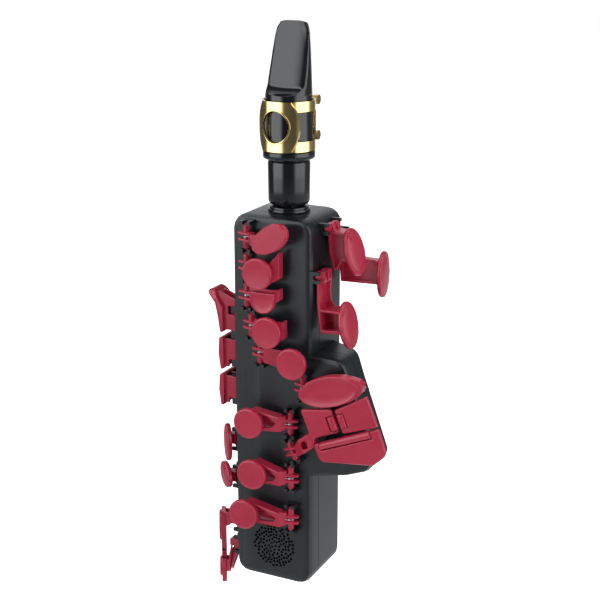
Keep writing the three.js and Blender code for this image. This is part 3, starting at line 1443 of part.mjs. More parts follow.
// Bosses and holes of the two shells
const bossHole = caseScrewRadius + clearance;
const frontBosses = screwPlaces.map(([x, z]) => {
  const boss = rod([x, frontY + wall / 2, z], [x, seamY - seamGap / 2, z], bossRadius, barrelFacets);
  return cut(boss, rod([x, caseScrewEndY - clearance, z], [x, seamY, z], bossHole, journalFacets));
});
const backTubes = screwPlaces.map(([x, z]) => {
  return rod([x, seamY + seamGap / 2, z], [x, backY - wall / 2, z], bossRadius, barrelFacets);
});
const backBores = screwPlaces.map(([x, z]) => {
  const outside = [x, backY + overrun, z];
  const sinkRadius = caseScrewHeadRadius + clearance;
  const sink = rod([x, caseScrewHeadY - clearance, z], outside, sinkRadius, barrelFacets);
  return join(rod([x, seamY, z], outside, bossHole, journalFacets), sink);
});

const grilleBores = [];
for (let i = 0; i < grilleHoles; i += 1) {
  const share = Math.sqrt((i + 0.5) / grilleHoles);
  const x = grilleX + grilleRadius * share * Math.cos(i * grilleTurn);
  const z = grilleZ + grilleRadius * share * Math.sin(i * grilleTurn);
  const size = grilleHoleSmall + (grilleHoleLarge - grilleHoleSmall) * share;
  grilleBores.push(rod([x, frontY - overrun, z], [x, frontY + wall + overrun, z], size, holeFacets));
}

const usbHole = block(
  [usbX - usbWidth / 2 - clearance, socketY - usbHeight / 2 - clearance, -overrun],
  [usbX + usbWidth / 2 + clearance, socketY + usbHeight / 2 + clearance, wall + overrun],
);
const jackHoleEnd = [jackX, socketY, wall + overrun];
const jackHole = rod([jackX, socketY, -overrun], jackHoleEnd, jackRadius + clearance, barrelFacets);
const neckHoleFoot = [neckX, 0, casingHeight - wall - overrun];
const neckHole = rod(neckHoleFoot, [neckX, 0, casingHeight + overrun], spigotRadius + clearance, pearlFacets);

function backHole(x, z, radius) {
  return rod([x, backY - wall - overrun, z], [x, backY + overrun, z], radius + clearance, barrelFacets);
}

const hollowForm = cut(outerForm, innerForm);
const frontShell = cut(join(hollowForm.intersect(frontHalf), ...frontBosses, ...frontEars), ...grilleBores);
const backShell = cut(
  join(hollowForm.intersect(backHalf), ...backTubes, ...backEars),
  ...backBores,
  usbHole,
  jackHole,
  neckHole,
  backHole(0, restZ, bossRadius / 2),
  backHole(buttonX, buttonZ, buttonRadius),
);
group.add(part('front_shell', frontShell, casingBlack));
group.add(part('back_shell', backShell, casingBlack));
screwPlaces.forEach((place, i) => {
  group.add(part(`case_screw_${i + 1}`, caseScrew(place), steel));
});

// Rollers stand in their plates' notches
const longRollerMiddle = longRollerStart + longRollerLength / 2;
const rollerPlaces = {
  roller_low_c_sharp: [tableMiddle - rollerInset, rollerMiddle, rollerLength, 0],
  roller_low_b: [tableMiddle + tableGap + rollerInset, rollerMiddle, rollerLength, 0],
  roller_low_b_flat: [longRollerMiddle, -longRollerSetback, longRollerLength, Math.PI / 2],
};
for (const [name, [along, up, length, across]] of Object.entries(rollerPlaces)) {
  const [x, z] = tablePoint(along, up);
  const mesh = part(name, roller(length, rollerRadius), keyRed);
  mesh.rotation.set(0, across - tableTurn, 0);
  mesh.position.set(x, pinY + rollerY, z);
  group.add(mesh);
}
const pinkySin = Math.sin(pinkyTurn) / 2;
const pinkyCos = Math.cos(pinkyTurn) / 2;
const pinkyRollers = { roller_low_e_flat: pinkyRollerOffset, roller_low_c: -pinkyRollerOffset };
for (const [name, offset] of Object.entries(pinkyRollers)) {
  const mesh = part(name, roller(pinkyRollerLength, smallRollerRadius), keyRed);
  mesh.rotation.set(Math.PI / 2, 0, pinkyTurn, 'ZYX');
  mesh.position.set(
    -sideX - sidePinRise - pinkyReach - pinkyDepth * pinkySin + pinkyThickness * pinkyCos,
    sidePinY - plateSetback + pinkyDepth * pinkyCos + pinkyThickness * pinkySin,
    pinkyJunctionZ + offset,
  );
  group.add(mesh);
}

// Mouthpiece group, on the axis of the neck
const head = new THREE.Group();
head.position.set(neckX, 0, mouthpieceFoot);
head.add(part('mouthpiece', mouthpiece(), ebonite));
head.add(part('reed', reed(), cane));
head.add(part('ligature', ligature(), brass));
screwHeights.forEach((height, i) => {
  const mesh = part(`ligature_screw_${i + 1}`, ligatureScrew(), brass);
  mesh.position.set(0, bodyRadius + clearance + ligatureWall + lugScrew, height);
  head.add(mesh);
});
group.add(head);

group.add(part('neck_collar', neckCollar(), ebonite));
group.add(part('neck_tube', neckTube(), ebonite));
group.add(part('cork_sleeve', corkSleeve(), cork));
group.add(part('thumb_rest', thumbRest(), rubber));
group.add(part('thumb_hook', thumbHook(), casingBlack));
group.add(part('strap_ring', strapRing(), steel));
group.add(part('power_button', powerButton(), keyRed));
group.add(part('main_board', board(), boardGreen));
group.add(part('battery', battery(), cellSilver));
group.add(part('speaker', speaker(), rubber));
group.add(part('breath_sensor', breathSensor(), cellSilver));
group.add(part('breath_tube', breathTube(), rubber));
group.add(part('usb_socket', usbSocket(), steel));
group.add(part('headphone_socket', headphoneSocket(), rubber));

export default group;
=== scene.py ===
import json
import math
import bpy
from mathutils import Matrix, Vector

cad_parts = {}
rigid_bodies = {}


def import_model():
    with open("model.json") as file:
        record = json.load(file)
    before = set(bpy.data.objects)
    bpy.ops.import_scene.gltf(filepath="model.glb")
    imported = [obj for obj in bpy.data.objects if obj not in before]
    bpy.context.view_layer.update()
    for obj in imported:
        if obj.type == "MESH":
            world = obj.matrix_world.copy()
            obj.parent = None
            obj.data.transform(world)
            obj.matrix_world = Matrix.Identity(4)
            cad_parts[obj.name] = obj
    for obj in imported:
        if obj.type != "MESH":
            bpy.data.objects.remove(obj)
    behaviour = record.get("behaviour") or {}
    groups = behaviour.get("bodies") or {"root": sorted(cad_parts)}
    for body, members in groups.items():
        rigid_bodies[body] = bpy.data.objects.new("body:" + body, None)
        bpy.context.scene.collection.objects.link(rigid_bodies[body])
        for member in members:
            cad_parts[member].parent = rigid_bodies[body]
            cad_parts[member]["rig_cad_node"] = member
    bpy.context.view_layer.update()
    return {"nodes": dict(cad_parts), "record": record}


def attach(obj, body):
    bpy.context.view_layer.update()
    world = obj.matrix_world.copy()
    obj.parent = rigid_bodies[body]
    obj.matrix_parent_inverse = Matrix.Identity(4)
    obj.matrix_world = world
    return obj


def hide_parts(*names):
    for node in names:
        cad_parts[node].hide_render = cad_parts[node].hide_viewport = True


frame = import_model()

# Lengths are in metres, in the frame of the model: X across, -Y to the front, Z up.
# Where a table holds millimetres, shares or key pitches, its comment says so.
MM = 0.001
KEY_PITCH = 205 / 12.853 * MM
JOINTS = {joint["child"]: joint for joint in frame["record"]["behaviour"]["joints"]}


# Working on one piece at a time

def deselect():
    bpy.ops.object.select_all(action='DESELECT')


def take(piece):
    deselect()
    piece.select_set(True)
    bpy.context.view_layer.objects.active = piece


def name_piece(piece, name):
    piece.name = name
    piece.data.name = name
    return piece


def settle(piece):
    """Writes the piece's place, turn and scale into its mesh, so its origin is the frame's."""
    take(piece)
    bpy.ops.object.transform_apply(location=True, rotation=True, scale=True)


def stand(piece, place):
    piece.matrix_world = place
    settle(piece)


def modify(piece, kind, **settings):
    take(piece)
    step = piece.modifiers.new(kind.lower(), kind)
    for setting, value in settings.items():
        setattr(step, setting, value)
    bpy.ops.object.modifier_apply(modifier=step.name)


def round_edges(piece, width, segments, angle, clamp=True):
    modify(piece, 'BEVEL', width=width, segments=segments, limit_method='ANGLE',
           angle_limit=math.radians(angle), use_clamp_overlap=clamp)


def smooth(piece, angle):
    take(piece)
    bpy.ops.object.shade_smooth_by_angle(angle=math.radians(angle))


# Cosine up to which a face still counts as looking along a direction
ALONG = 0.99


def step_in(piece, towards, steps):
    """Insets the faces that look along a direction, in steps of a width and a rise."""
    bpy.ops.object.mode_set(mode='EDIT')
    bpy.ops.mesh.select_all(action='DESELECT')
    bpy.ops.object.mode_set(mode='OBJECT')
    for face in piece.data.polygons:
        face.select = face.normal.dot(towards) > ALONG
    bpy.ops.object.mode_set(mode='EDIT')
    bpy.ops.mesh.select_mode(type='FACE')
    for width, rise in steps:
        bpy.ops.mesh.inset(thickness=width, depth=rise)
    bpy.ops.object.mode_set(mode='OBJECT')


def close_skin(piece, reach):
    """Joins the points that meet, fills the open ends and turns all faces outwards."""
    take(piece)
    bpy.ops.object.mode_set(mode='EDIT')
    bpy.ops.mesh.select_all(action='SELECT')
    bpy.ops.mesh.remove_doubles(threshold=reach)
    bpy.ops.mesh.fill_holes(sides=0)
    bpy.ops.mesh.select_all(action='SELECT')
    bpy.ops.mesh.normals_make_consistent(inside=False)
    bpy.ops.object.mode_set(mode='OBJECT')


def cut_with(piece, cutter, operation='DIFFERENCE'):
    modify(piece, 'BOOLEAN', object=cutter, operation=operation, solver='EXACT')
    bpy.data.objects.remove(cutter, do_unlink=True)


# Plain forms to build with and to cut with, all in millimetres

def prism(points, low, high, place):
    """A drawn outline, pulled straight: place gives a point from two sizes and a depth."""
    bpy.ops.mesh.primitive_circle_add(vertices=len(points), radius=1, fill_type='NGON')
    piece = bpy.context.object
    for vertex, (first, second) in zip(piece.data.vertices, points):
        vertex.co = place(first * MM, second * MM, low * MM)
    step = place(0, 0, high * MM) - place(0, 0, low * MM)
    bpy.ops.object.mode_set(mode='EDIT')
    bpy.ops.mesh.select_all(action='SELECT')
    bpy.ops.mesh.extrude_region_move(TRANSFORM_OT_translate={"value": step})
    bpy.ops.mesh.select_all(action='SELECT')
    bpy.ops.mesh.normals_make_consistent(inside=False)
    bpy.ops.object.mode_set(mode='OBJECT')
    return piece


def block(low, high):
    middle = [(a + b) / 2 * MM for a, b in zip(low, high)]
    bpy.ops.mesh.primitive_cube_add(size=1, location=middle)
    piece = bpy.context.object
    piece.scale = [(b - a) * MM for a, b in zip(low, high)]
    settle(piece)
    return piece


def drum(radius, low, high, sides):
    """A round bar that stands on Z."""
    bpy.ops.mesh.primitive_cylinder_add(vertices=sides, radius=radius * MM, depth=(high - low) * MM,
                                        location=(0, 0, (low + high) / 2 * MM))
    piece = bpy.context.object
    settle(piece)
    return piece


def crossbar(radius, length, place, sides):
    """A round bar that lies along X."""
    bpy.ops.mesh.primitive_cylinder_add(vertices=sides, radius=radius * MM, depth=length * MM,
                                        location=[size * MM for size in place],
                                        rotation=(0, math.pi / 2, 0))
    piece = bpy.context.object
    settle(piece)
    return piece


# Shader nodes: numbers and colours are written into a node's inputs, sockets are linked to them

def add_node(tree, kind, **inputs):
    node = tree.nodes.new("ShaderNode" + kind)
    for name, value in inputs.items():
        set_input(tree, node.inputs[name.replace("_", " ")], value)
    return node


def set_input(tree, socket, value):
    if isinstance(value, bpy.types.NodeSocket):
        tree.links.new(value, socket)
    else:
        socket.default_value = value


# Finishes, grown from noise in each piece's own coordinates

def new_finish(name, **sockets):
    finish = bpy.data.materials.new(name)
    finish.use_nodes = True
    for socket, value in sockets.items():
        shader_of(finish).inputs[socket.replace("_", " ")].default_value = value
    return finish


def shader_of(finish):
    return finish.node_tree.nodes["Principled BSDF"]


def grain(finish, scale, detail, stretch=(1, 1, 1)):
    tree = finish.node_tree
    place = add_node(tree, "TexCoord").outputs["Object"]
    turned = add_node(tree, "Mapping", Vector=place, Scale=stretch).outputs["Vector"]
    return add_node(tree, "TexNoise", Vector=turned, Scale=scale, Detail=detail).outputs["Fac"]


def tint(finish, factor, dark, light, low=0.35, high=0.65):
    tree = finish.node_tree
    ramp = add_node(tree, "ValToRGB", Fac=factor)
    for element, position, color in zip(ramp.color_ramp.elements, (low, high), (dark, light)):
        element.position = position
        element.color = (*color, 1)
    tree.links.new(ramp.outputs["Color"], shader_of(finish).inputs["Base Color"])


def gloss(finish, factor, low, high):
    tree = finish.node_tree
    spread = add_node(tree, "MapRange", Value=factor, To_Min=low, To_Max=high)
    tree.links.new(spread.outputs["Result"], shader_of(finish).inputs["Roughness"])


def relief(finish, factor, height, strength):
    tree = finish.node_tree
    bump = add_node(tree, "Bump", Height=factor, Distance=height, Strength=strength)
    tree.links.new(bump.outputs["Normal"], shader_of(finish).inputs["Normal"])


def key_plastic():
    finish = new_finish("key_plastic", Specular_IOR_Level=0.42)
    cloud = grain(finish, scale=60, detail=2)
    tint(finish, cloud, dark=(0.4, 0.017, 0.048), light=(0.44, 0.022, 0.057))
    gloss(finish, cloud, low=0.2, high=0.27)
    relief(finish, grain(finish, scale=2600, detail=2), height=0.00002, strength=0.25)
    return finish


def casing_plastic():
    finish = new_finish("casing_plastic", Specular_IOR_Level=0.42)
    cloud = grain(finish, scale=40, detail=3)
    tint(finish, cloud, dark=(0.006, 0.0085, 0.01), light=(0.009, 0.0115, 0.0135))
    gloss(finish, cloud, low=0.3, high=0.38)
    relief(finish, grain(finish, scale=2200, detail=3), height=0.00004, strength=0.5)
    return finish


def mouthpiece_gloss():
    finish = new_finish("mouthpiece_gloss")
    cloud = grain(finish, scale=80, detail=2)
    tint(finish, cloud, dark=(0.006, 0.007, 0.009), light=(0.009, 0.01, 0.012))
    gloss(finish, cloud, low=0.07, high=0.13)
    return finish


def lacquered_brass():
    finish = new_finish("lacquered_brass", Metallic=1.0)
    cloud = grain(finish, scale=120, detail=3)
    tint(finish, cloud, dark=(0.78, 0.58, 0.26), light=(0.86, 0.66, 0.32))
    gloss(finish, cloud, low=0.1, high=0.2)
    return finish


def reed_cane():
    finish = new_finish("reed_cane")
    fibre = grain(finish, scale=900, detail=5, stretch=(1, 1, 0.03))
    tint(finish, fibre, dark=(0.58, 0.43, 0.19), light=(0.74, 0.6, 0.33))
    gloss(finish, fibre, low=0.5, high=0.7)
    relief(finish, fibre, height=0.00006, strength=0.5)
    return finish


def sleeve_cork():
    finish = new_finish("sleeve_cork")
    speck = grain(finish, scale=700, detail=6)
    tint(finish, speck, dark=(0.25, 0.13, 0.06), light=(0.5, 0.31, 0.16))
    gloss(finish, speck, low=0.75, high=0.95)
    relief(finish, speck, height=0.0002, strength=0.6)
    return finish


def plated_steel():
    finish = new_finish("plated_steel", Metallic=1.0)
    brushed = grain(finish, scale=500, detail=3, stretch=(1, 0.1, 1))
    tint(finish, brushed, dark=(0.36, 0.37, 0.39), light=(0.5, 0.51, 0.53))
    gloss(finish, brushed, low=0.2, high=0.34)
    return finish


def soft_rubber():
    finish = new_finish("soft_rubber")
    fine = grain(finish, scale=1500, detail=4)
    tint(finish, fine, dark=(0.012, 0.012, 0.013), light=(0.02, 0.02, 0.021))
    gloss(finish, fine, low=0.6, high=0.8)
    relief(finish, fine, height=0.00006, strength=0.6)
    return finish


def circuit_board():
    finish = new_finish("circuit_board")
    lanes = grain(finish, scale=300, detail=1, stretch=(1, 1, 0.2))
    tint(finish, lanes, dark=(0.01, 0.08, 0.035), light=(0.03, 0.16, 0.07), low=0.48, high=0.52)
    gloss(finish, lanes, low=0.3, high=0.45)
    return finish


def cell_foil():
    finish = new_finish("cell_foil", Metallic=0.7)
    crinkle = grain(finish, scale=260, detail=4)
    tint(finish, crinkle, dark=(0.34, 0.35, 0.37), light=(0.5, 0.51, 0.53))
    gloss(finish, crinkle, low=0.3, high=0.5)
    relief(finish, crinkle, height=0.0002, strength=0.3)
    return finish


FINISHES = {
    "keys": key_plastic(),
    "casing": casing_plastic(),
    "mouthpiece": mouthpiece_gloss(),
    "brass": lacquered_brass(),
    "reed": reed_cane(),
    "cork": sleeve_cork(),
    "steel": plated_steel(),
    "soft": soft_rubber(),
    "board": circuit_board(),
    "cell": cell_foil(),
}
NODE_SLOT = {entry["node"]: entry["material_slot"] for entry in frame["record"]["subparts"]}
NODE_BODY = {member: body for body, members in frame["record"]["behaviour"]["bodies"].items()
             for member in members}


def finish_with(piece, slot):
    piece.data.materials.clear()
    piece.data.materials.append(FINISHES[slot])


def mount(piece, node, slot=None):
    """The piece takes the node's finish, or that of a slot, and moves with the node's body."""
    finish_with(piece, slot or NODE_SLOT[node])
    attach(piece, NODE_BODY[node])


# Moulded copies of the CAD's solids, with their edges rounded off. Widths in mm
EDGES = {
    "low_key_c_sharp": 0.42,
    "low_key_b": 0.42,
    "low_key_b_flat": 0.42,
    "front_shell": 0.2,
    "back_shell": 0.2,
}
PLAIN_EDGE = 0.28
CLAMPED = ("palm_key_f", "front_shell", "back_shell")
# Nodes whose pieces are built anew further down
ANEW = ("mouthpiece", "ligature", "neck_collar")
MERGE_REACH = 0.000002


def moulded(node):
    take(frame["nodes"][node])
    bpy.ops.object.duplicate()
    piece = bpy.context.object
    bpy.ops.object.parent_clear(type='CLEAR_KEEP_TRANSFORM')
    del piece["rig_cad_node"]
    name_piece(piece, node + "_moulded")
    bpy.ops.object.mode_set(mode='EDIT')
    bpy.ops.mesh.select_all(action='SELECT')
    bpy.ops.mesh.remove_doubles(threshold=MERGE_REACH)
    bpy.ops.mesh.dissolve_limited(angle_limit=math.radians(1))
    bpy.ops.object.mode_set(mode='OBJECT')
    round_edges(piece, width=EDGES.get(node, PLAIN_EDGE) * MM, segments=2, angle=28,
                clamp=node in CLAMPED)
    smooth(piece, 40)
    modify(piece, 'WEIGHTED_NORMAL', keep_sharp=True)
    mount(piece, node)
    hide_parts(node)
    return piece


def dress_solids():
    """Moulds the keys and the shells, gives the other nodes a finish, and returns the moulded."""
    pieces = {}
    for node, slot in NODE_SLOT.items():
        if node.startswith("roller") or node in ANEW:
            continue
        if slot == "keys" or node in EDGES:
            pieces[node] = moulded(node)
        else:
            solid = frame["nodes"][node]
            finish_with(solid, slot)
            smooth(solid, 32)
    return pieces


# Hinge frames, as in the solids: local -Y points out of the face that carries the hinge
FACING = {
    "front": Matrix.Identity(4),
    "side": Matrix.Rotation(math.radians(-90), 4, 'Z'),
    "palm": Matrix(((0, -1, 0, 0), (0, 0, 1, 0), (-1, 0, 0, 0), (0, 0, 0, 1))),
}


def hinge_frame(node, facing="front"):
    """A node's place turned so that its hinge faces the way the tables are written."""
    return Matrix.Translation(JOINTS[node]["pos_m"]) @ FACING[facing]


# Finger touches. From a touch's rim to its middle: each step's width as a share of the
# touch's half size, and its rise in mm
DISH = [(0.13, 0), (0.03, -0.12), (0.05, -0.16), (0.12, -0.2), (0.19, -0.14), (0.24, -0.06)]
DOME = [(0.13, 0), (0.06, 0.16), (0.12, 0.22), (0.2, 0.2), (0.24, 0.1)]
LOW_DOME = DOME[:4]
SHALLOW = [(0.09, 0), (0.035, -0.24), (0.06, -0.1), (0.15, -0.12), (0.22, -0.08), (0.26, -0.03)]
TOUCH_SIDES = 96


def touch(name, node, place, size, depth, rings, edge, taper=0):
    """An oval facing local -Y, with its base at a place. Sizes in mm; a taper widens one end."""
    depth *= MM
    half_width, half_height = size[0] * MM / 2, size[1] * MM / 2
    bpy.ops.mesh.primitive_cylinder_add(vertices=TOUCH_SIDES, radius=1, depth=1)
    piece = name_piece(bpy.context.object, name)
    step_in(piece, Vector((0, 0, 1)), [(share, rise * MM / depth) for share, rise in rings])
    piece.scale = (half_width, half_height, depth)
    settle(piece)
    for vertex in piece.data.vertices:
        vertex.co.y *= 1 + taper * vertex.co.x / half_width
    round_edges(piece, width=edge * MM, segments=5, angle=55)
    smooth(piece, 50)
    out = Matrix.Translation((0, -depth / 2, 0)) @ Matrix.Rotation(math.radians(90), 4, 'X')
    stand(piece, place @ out)
    mount(piece, node)


# Round touches: places from their hinges, across and up in key pitches, then sizes in mm
PEARLS = {
    "key_b": (0.64, -0.11),
    "key_a": (0.803, -0.044),
    "key_g": (1.373, -0.082),
    "key_f": (-1.32, -0.06),
    "key_e": (-1.22, 0.07),
    "key_d": (-1.55, 0.055),
}
PEARL_SIZE = (16.75, 16.75)
PEARL_BASE = -6.48
PEARL_DEPTH = 3.04
PEARL_EDGE = 0.95


def pearl_touches():
    for node, (across, up) in PEARLS.items():
        place = Matrix.Translation((across * KEY_PITCH, PEARL_BASE * MM, up * KEY_PITCH))
        touch(node + "_pearl", node, hinge_frame(node) @ place, PEARL_SIZE, PEARL_DEPTH,
              DISH, PEARL_EDGE)


# Leaf touches: places from their hinges, across and up in key pitches, then sizes in mm
LEAVES = {
    "key_c": {
        "across": 1.082, "up": 0.107, "base": -5.48, "lean": -33, "shift": 0,
        "size": (22.2, 13.2), "depth": 3.3, "rings": DOME, "edge": 0.7, "taper": 0.12,
    },
    "key_g_sharp": {
        "across": 1.23, "up": 0.24, "base": -4.98, "lean": -17, "shift": -1.3,
        "size": (34.4, 16.1), "depth": 4.54, "rings": SHALLOW, "edge": 0.5, "taper": 0,
    },
}


def leaf_touches():
    for node, leaf in LEAVES.items():
        base = (leaf["across"] * KEY_PITCH, leaf["base"] * MM, leaf["up"] * KEY_PITCH)
        lean = Matrix.Rotation(math.radians(leaf["lean"]), 4, 'Y')
        place = Matrix.Translation(base) @ lean @ Matrix.Translation((leaf["shift"] * MM, 0, 0))
        touch(node + "_leaf", node, hinge_frame(node) @ place, leaf["size"], leaf["depth"],
              leaf["rings"], leaf["edge"], leaf["taper"])


# Palm keys: base of the touch from the hinge in mm, then its lean and turn in degrees
PALM_TOUCHES = {
    "palm_key_d": ((26, 13.4, 2.05), (-9.5, 10)),
    "palm_key_e_flat": ((12.6, 12.1, 0.6), (-12, 16)),
    "palm_key_f": ((20.3, 21.5, 4), (4, 0)),
}
PALM_SIZE = (15.9, 25.1)
PALM_DEPTH = 2.3
PALM_EDGE = 0.8


def palm_touches():
    for node, ((down, out, back), (lean, turn)) in PALM_TOUCHES.items():
        place = Matrix.Translation((down * MM, -out * MM, back * MM))
        place @= Matrix.Rotation(math.radians(-lean), 4, 'X')
        place @= Matrix.Rotation(math.radians(-turn), 4, 'Z')
        place @= Matrix.Rotation(math.radians(90), 4, 'Y')
        touch(node + "_touch", node, hinge_frame(node, "palm") @ place, PALM_SIZE, PALM_DEPTH,
              DOME, PALM_EDGE)


# Side trill keys: base of the touch from the hinge and its size in mm, then its turn to the
# front and its lean in degrees
TRILL_TOUCHES = {
    "side_key_high_f_sharp": ((3.7, 2.2, -2.1), (21.5, 9.5), 45, 3),
    "side_key_f_sharp": ((4.8, 2.8, 1), (15, 11.4), 54, 26),
}
TRILL_DEPTH = 2.5
TRILL_EDGE = 0.55


def trill_touches():
    for node, ((out, ahead, up), size, turn, lean) in TRILL_TOUCHES.items():
        place = Matrix.Translation((ahead * MM, -out * MM, up * MM))
        place @= Matrix.Rotation(math.radians(turn), 4, 'Z')
        place @= Matrix.Rotation(math.radians(-90 - lean), 4, 'Y')
        touch(node + "_touch", node, hinge_frame(node, "side") @ place, size, TRILL_DEPTH,
              LOW_DOME, TRILL_EDGE)


# Rollers: length and radius of each drum in mm, then the size of the pin at its ends
ROLLERS = {
    "roller_low_c_sharp": (7.6, 2.12),
    "roller_low_b": (7.6, 2.12),
    "roller_low_b_flat": (30, 2.12),
    "roller_low_e_flat": (9.6, 1.42),
    "roller_low_c": (9.6, 1.42),
}
PIN_RADIUS = 0.65
PIN_LENGTH = 0.75
PIN_TAPER = 0.08


def rollers():
    for node, (length, radius) in ROLLERS.items():
        bpy.ops.mesh.primitive_cylinder_add(vertices=48, radius=radius * MM, depth=length * MM)
        piece = name_piece(bpy.context.object, node + "_drum")
        pin = [((radius - PIN_RADIUS) * MM, 0), (PIN_TAPER * MM, PIN_LENGTH * MM)]
        for end in (1, -1):
            step_in(piece, Vector((0, 0, end)), pin)
        round_edges(piece, width=0.3 * MM, segments=3, angle=60)
        smooth(piece, 50)
        turn = Vector((0, 0, 1)).rotation_difference(Vector(JOINTS[node]["axis"]))
        stand(piece, Matrix.Translation(JOINTS[node]["pos_m"]) @ turn.to_matrix().to_4x4())
        mount(piece, node)
        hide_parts(node)


# Recess in the front of each plain arm below its ridge, in mm from the hinge along the arm and
# up. The depths are from the arm's front face, and the floor is wider than the opening
ARM_RECESS = {
    "key_f": [(6.6, 0.6), (14.5, 4.9), (15, -0.6), (13, -3.6), (8.2, -1.9)],
    "key_e": [(6.6, 0.9), (13, 5.6), (13.4, 0.6), (11.4, -2.4), (8, -1.6)],
    "key_d": [(6.6, 0.8), (18, 6.2), (18.4, 1), (16.6, -2.6), (8.4, -1.9)],
}
ARM_FACE = -29 * MM
OPENING_DEPTH = (-1, 1.7)
FLOOR_DEPTH = (3, 3.7)
FLOOR_GROWTH = 1.16


def recess_arms(pieces):
    """Opens the arm's front wall and closes the hollow with a deeper floor."""
    for node, points in ARM_RECESS.items():
        x, _, z = JOINTS[node]["pos_m"]

        def inward(across, up, depth):
            return Vector((x - across, ARM_FACE + depth, z + up))

        cut_with(pieces[node], prism(points, *OPENING_DEPTH, inward))
        middle = [sum(point[axis] for point in points) / len(points) for axis in (0, 1)]
        wider = [[m + FLOOR_GROWTH * (p - m) for p, m in zip(point, middle)] for point in points]
        web = name_piece(prism(wider, *FLOOR_DEPTH, inward), node + "_web")
        round_edges(web, width=0.15 * MM, segments=2, angle=40)
        smooth(web, 40)
        mount(web, node)


# The flared touch of the high E key, in mm in its hinge's frame: its back and front edge, its
# top, and the radius of its two corners there
FLARE_EDGES = (-9.6, 5.4)
FLARE_TOP = 1.13 * KEY_PITCH / MM
FLARE_CORNER = 5.4
FLARE_STEPS = 12
FLARE_CUT = (-40, 0)
MARGIN = 1


def round_flare(piece):
    place = hinge_frame("side_key_high_e", "side")
    start = FLARE_TOP - FLARE_CORNER
    for side, edge in zip((-1, 1), FLARE_EDGES):
        points = [(edge - side * FLARE_CORNER, FLARE_TOP + MARGIN),
                  (edge + side * MARGIN, FLARE_TOP + MARGIN), (edge + side * MARGIN, start)]
        for step in range(FLARE_STEPS + 1):
            angle = math.pi / 2 * step / FLARE_STEPS
            across = edge - side * FLARE_CORNER * (1 - math.cos(angle))
            points.append((across, FLARE_TOP - FLARE_CORNER * (1 - math.sin(angle))))
        corner = prism(points, *FLARE_CUT, lambda ahead, up, out: place @ Vector((ahead, out, up)))
        cut_with(piece, corner)


# The flat touch of the B flat key: a half round below a low box. Sizes in mm, but the place
# across in key pitches, and the box's height as a share of the radius
FLAT_ACROSS = 0.77
FLAT_RADIUS = 7
FLAT_ABOVE = 0.62
FLAT_DEPTH = (-4.9, -7.35)
FLAT_STEPS = 28
FLAT_RINGS = [(0.75, 0), (0.3, -0.16), (0.6, -0.14), (1, -0.1), (1.2, -0.04)]


def flat_touch():
    top = FLAT_ABOVE * FLAT_RADIUS
    points = [(FLAT_RADIUS, top), (-FLAT_RADIUS, top)]
    for step in range(FLAT_STEPS + 1):
        angle = math.pi * (1 + step / FLAT_STEPS)
        points.append((FLAT_RADIUS * math.cos(angle), FLAT_RADIUS * math.sin(angle)))
    place = hinge_frame("key_b_flat_side") @ Matrix.Translation((FLAT_ACROSS * KEY_PITCH, 0, 0))
    piece = prism(points, *FLAT_DEPTH, lambda across, up, out: place @ Vector((across, out, up)))
    name_piece(piece, "key_b_flat_side_touch")
    step_in(piece, Vector((0, -1, 0)), [(width * MM, rise * MM) for width, rise in FLAT_RINGS])
    round_edges(piece, width=0.6 * MM, segments=4, angle=55)
    smooth(piece, 50)
    mount(piece, "key_b_flat_side")


# Speaker grille, in mm: the solids' 61 holes lie on a spiral and grow outwards. As many more
# are put in, each where the widest space is left on a square grid
GRILLE_MIDDLE = (1, 20.304)
GRILLE_FACE = -19
GRILLE_RADIUS = 12.02
GRILLE_HOLES = 61
GRILLE_TURN = math.pi * (3 - math.sqrt(5))
GRILLE_GRID = 0.4
GRILLE_GRID_REACH = 30
HOLE_RADIUS = 0.62
HOLE_GROWTH = 0.2
HOLE_DEPTH = 6


def grille_places():
    places = []
    for k in range(GRILLE_HOLES):
        reach = GRILLE_RADIUS * math.sqrt((k + 0.5) / GRILLE_HOLES)
        places.append((reach * math.cos(k * GRILLE_TURN), reach * math.sin(k * GRILLE_TURN)))
    steps = [GRILLE_GRID * step for step in range(-GRILLE_GRID_REACH, GRILLE_GRID_REACH + 1)]
    spaces = [(a, b) for a in steps for b in steps if math.hypot(a, b) < GRILLE_RADIUS]
    room = {space: min(math.dist(space, place) for place in places) for space in spaces}
    for _ in range(GRILLE_HOLES):
        widest = max(spaces, key=lambda space: room[space])
        places.append(widest)
        for space in spaces:
            room[space] = min(room[space], math.dist(space, widest))
    return places


def open_grille(shell):
    holes = []
    for across, up in grille_places():
        radius = HOLE_RADIUS + HOLE_GROWTH * math.hypot(across, up) / GRILLE_RADIUS
        place = (GRILLE_MIDDLE[0] + across, GRILLE_FACE, GRILLE_MIDDLE[1] + up)
        bpy.ops.mesh.primitive_cylinder_add(vertices=14, radius=radius * MM, depth=HOLE_DEPTH * MM,
                                            location=[size * MM for size in place],
                                            rotation=(math.pi / 2, 0, 0))
        holes.append(bpy.context.object)
    for hole in holes:
        hole.select_set(True)
    bpy.ops.object.join()
    cutter = bpy.context.object
    settle(cutter)
    cut_with(shell, cutter)


# Broad webs under the low C plate, in mm from its hinge: outward and up, then their places
# towards the back
FAN = [(-0.6, -1.4), (-6.2, -5.2), (-7.4, -8.6), (-7.4, -21.5), (-1.2, -4.2)]
FAN_PLACES = (1.7, 5.4)
FAN_THICKNESS = 1.1


def low_c_webs():
    place = hinge_frame("low_key_c", "side")
    for k, back in enumerate(FAN_PLACES):
        piece = prism(FAN, -back, -back + FAN_THICKNESS,
                      lambda out, up, ahead: place @ Vector((ahead, out, up)))
        name_piece(piece, f"low_key_c_web_{k + 1}")
        round_edges(piece, width=0.25 * MM, segments=2, angle=40)
        smooth(piece, 40)
        mount(piece, "low_key_c")


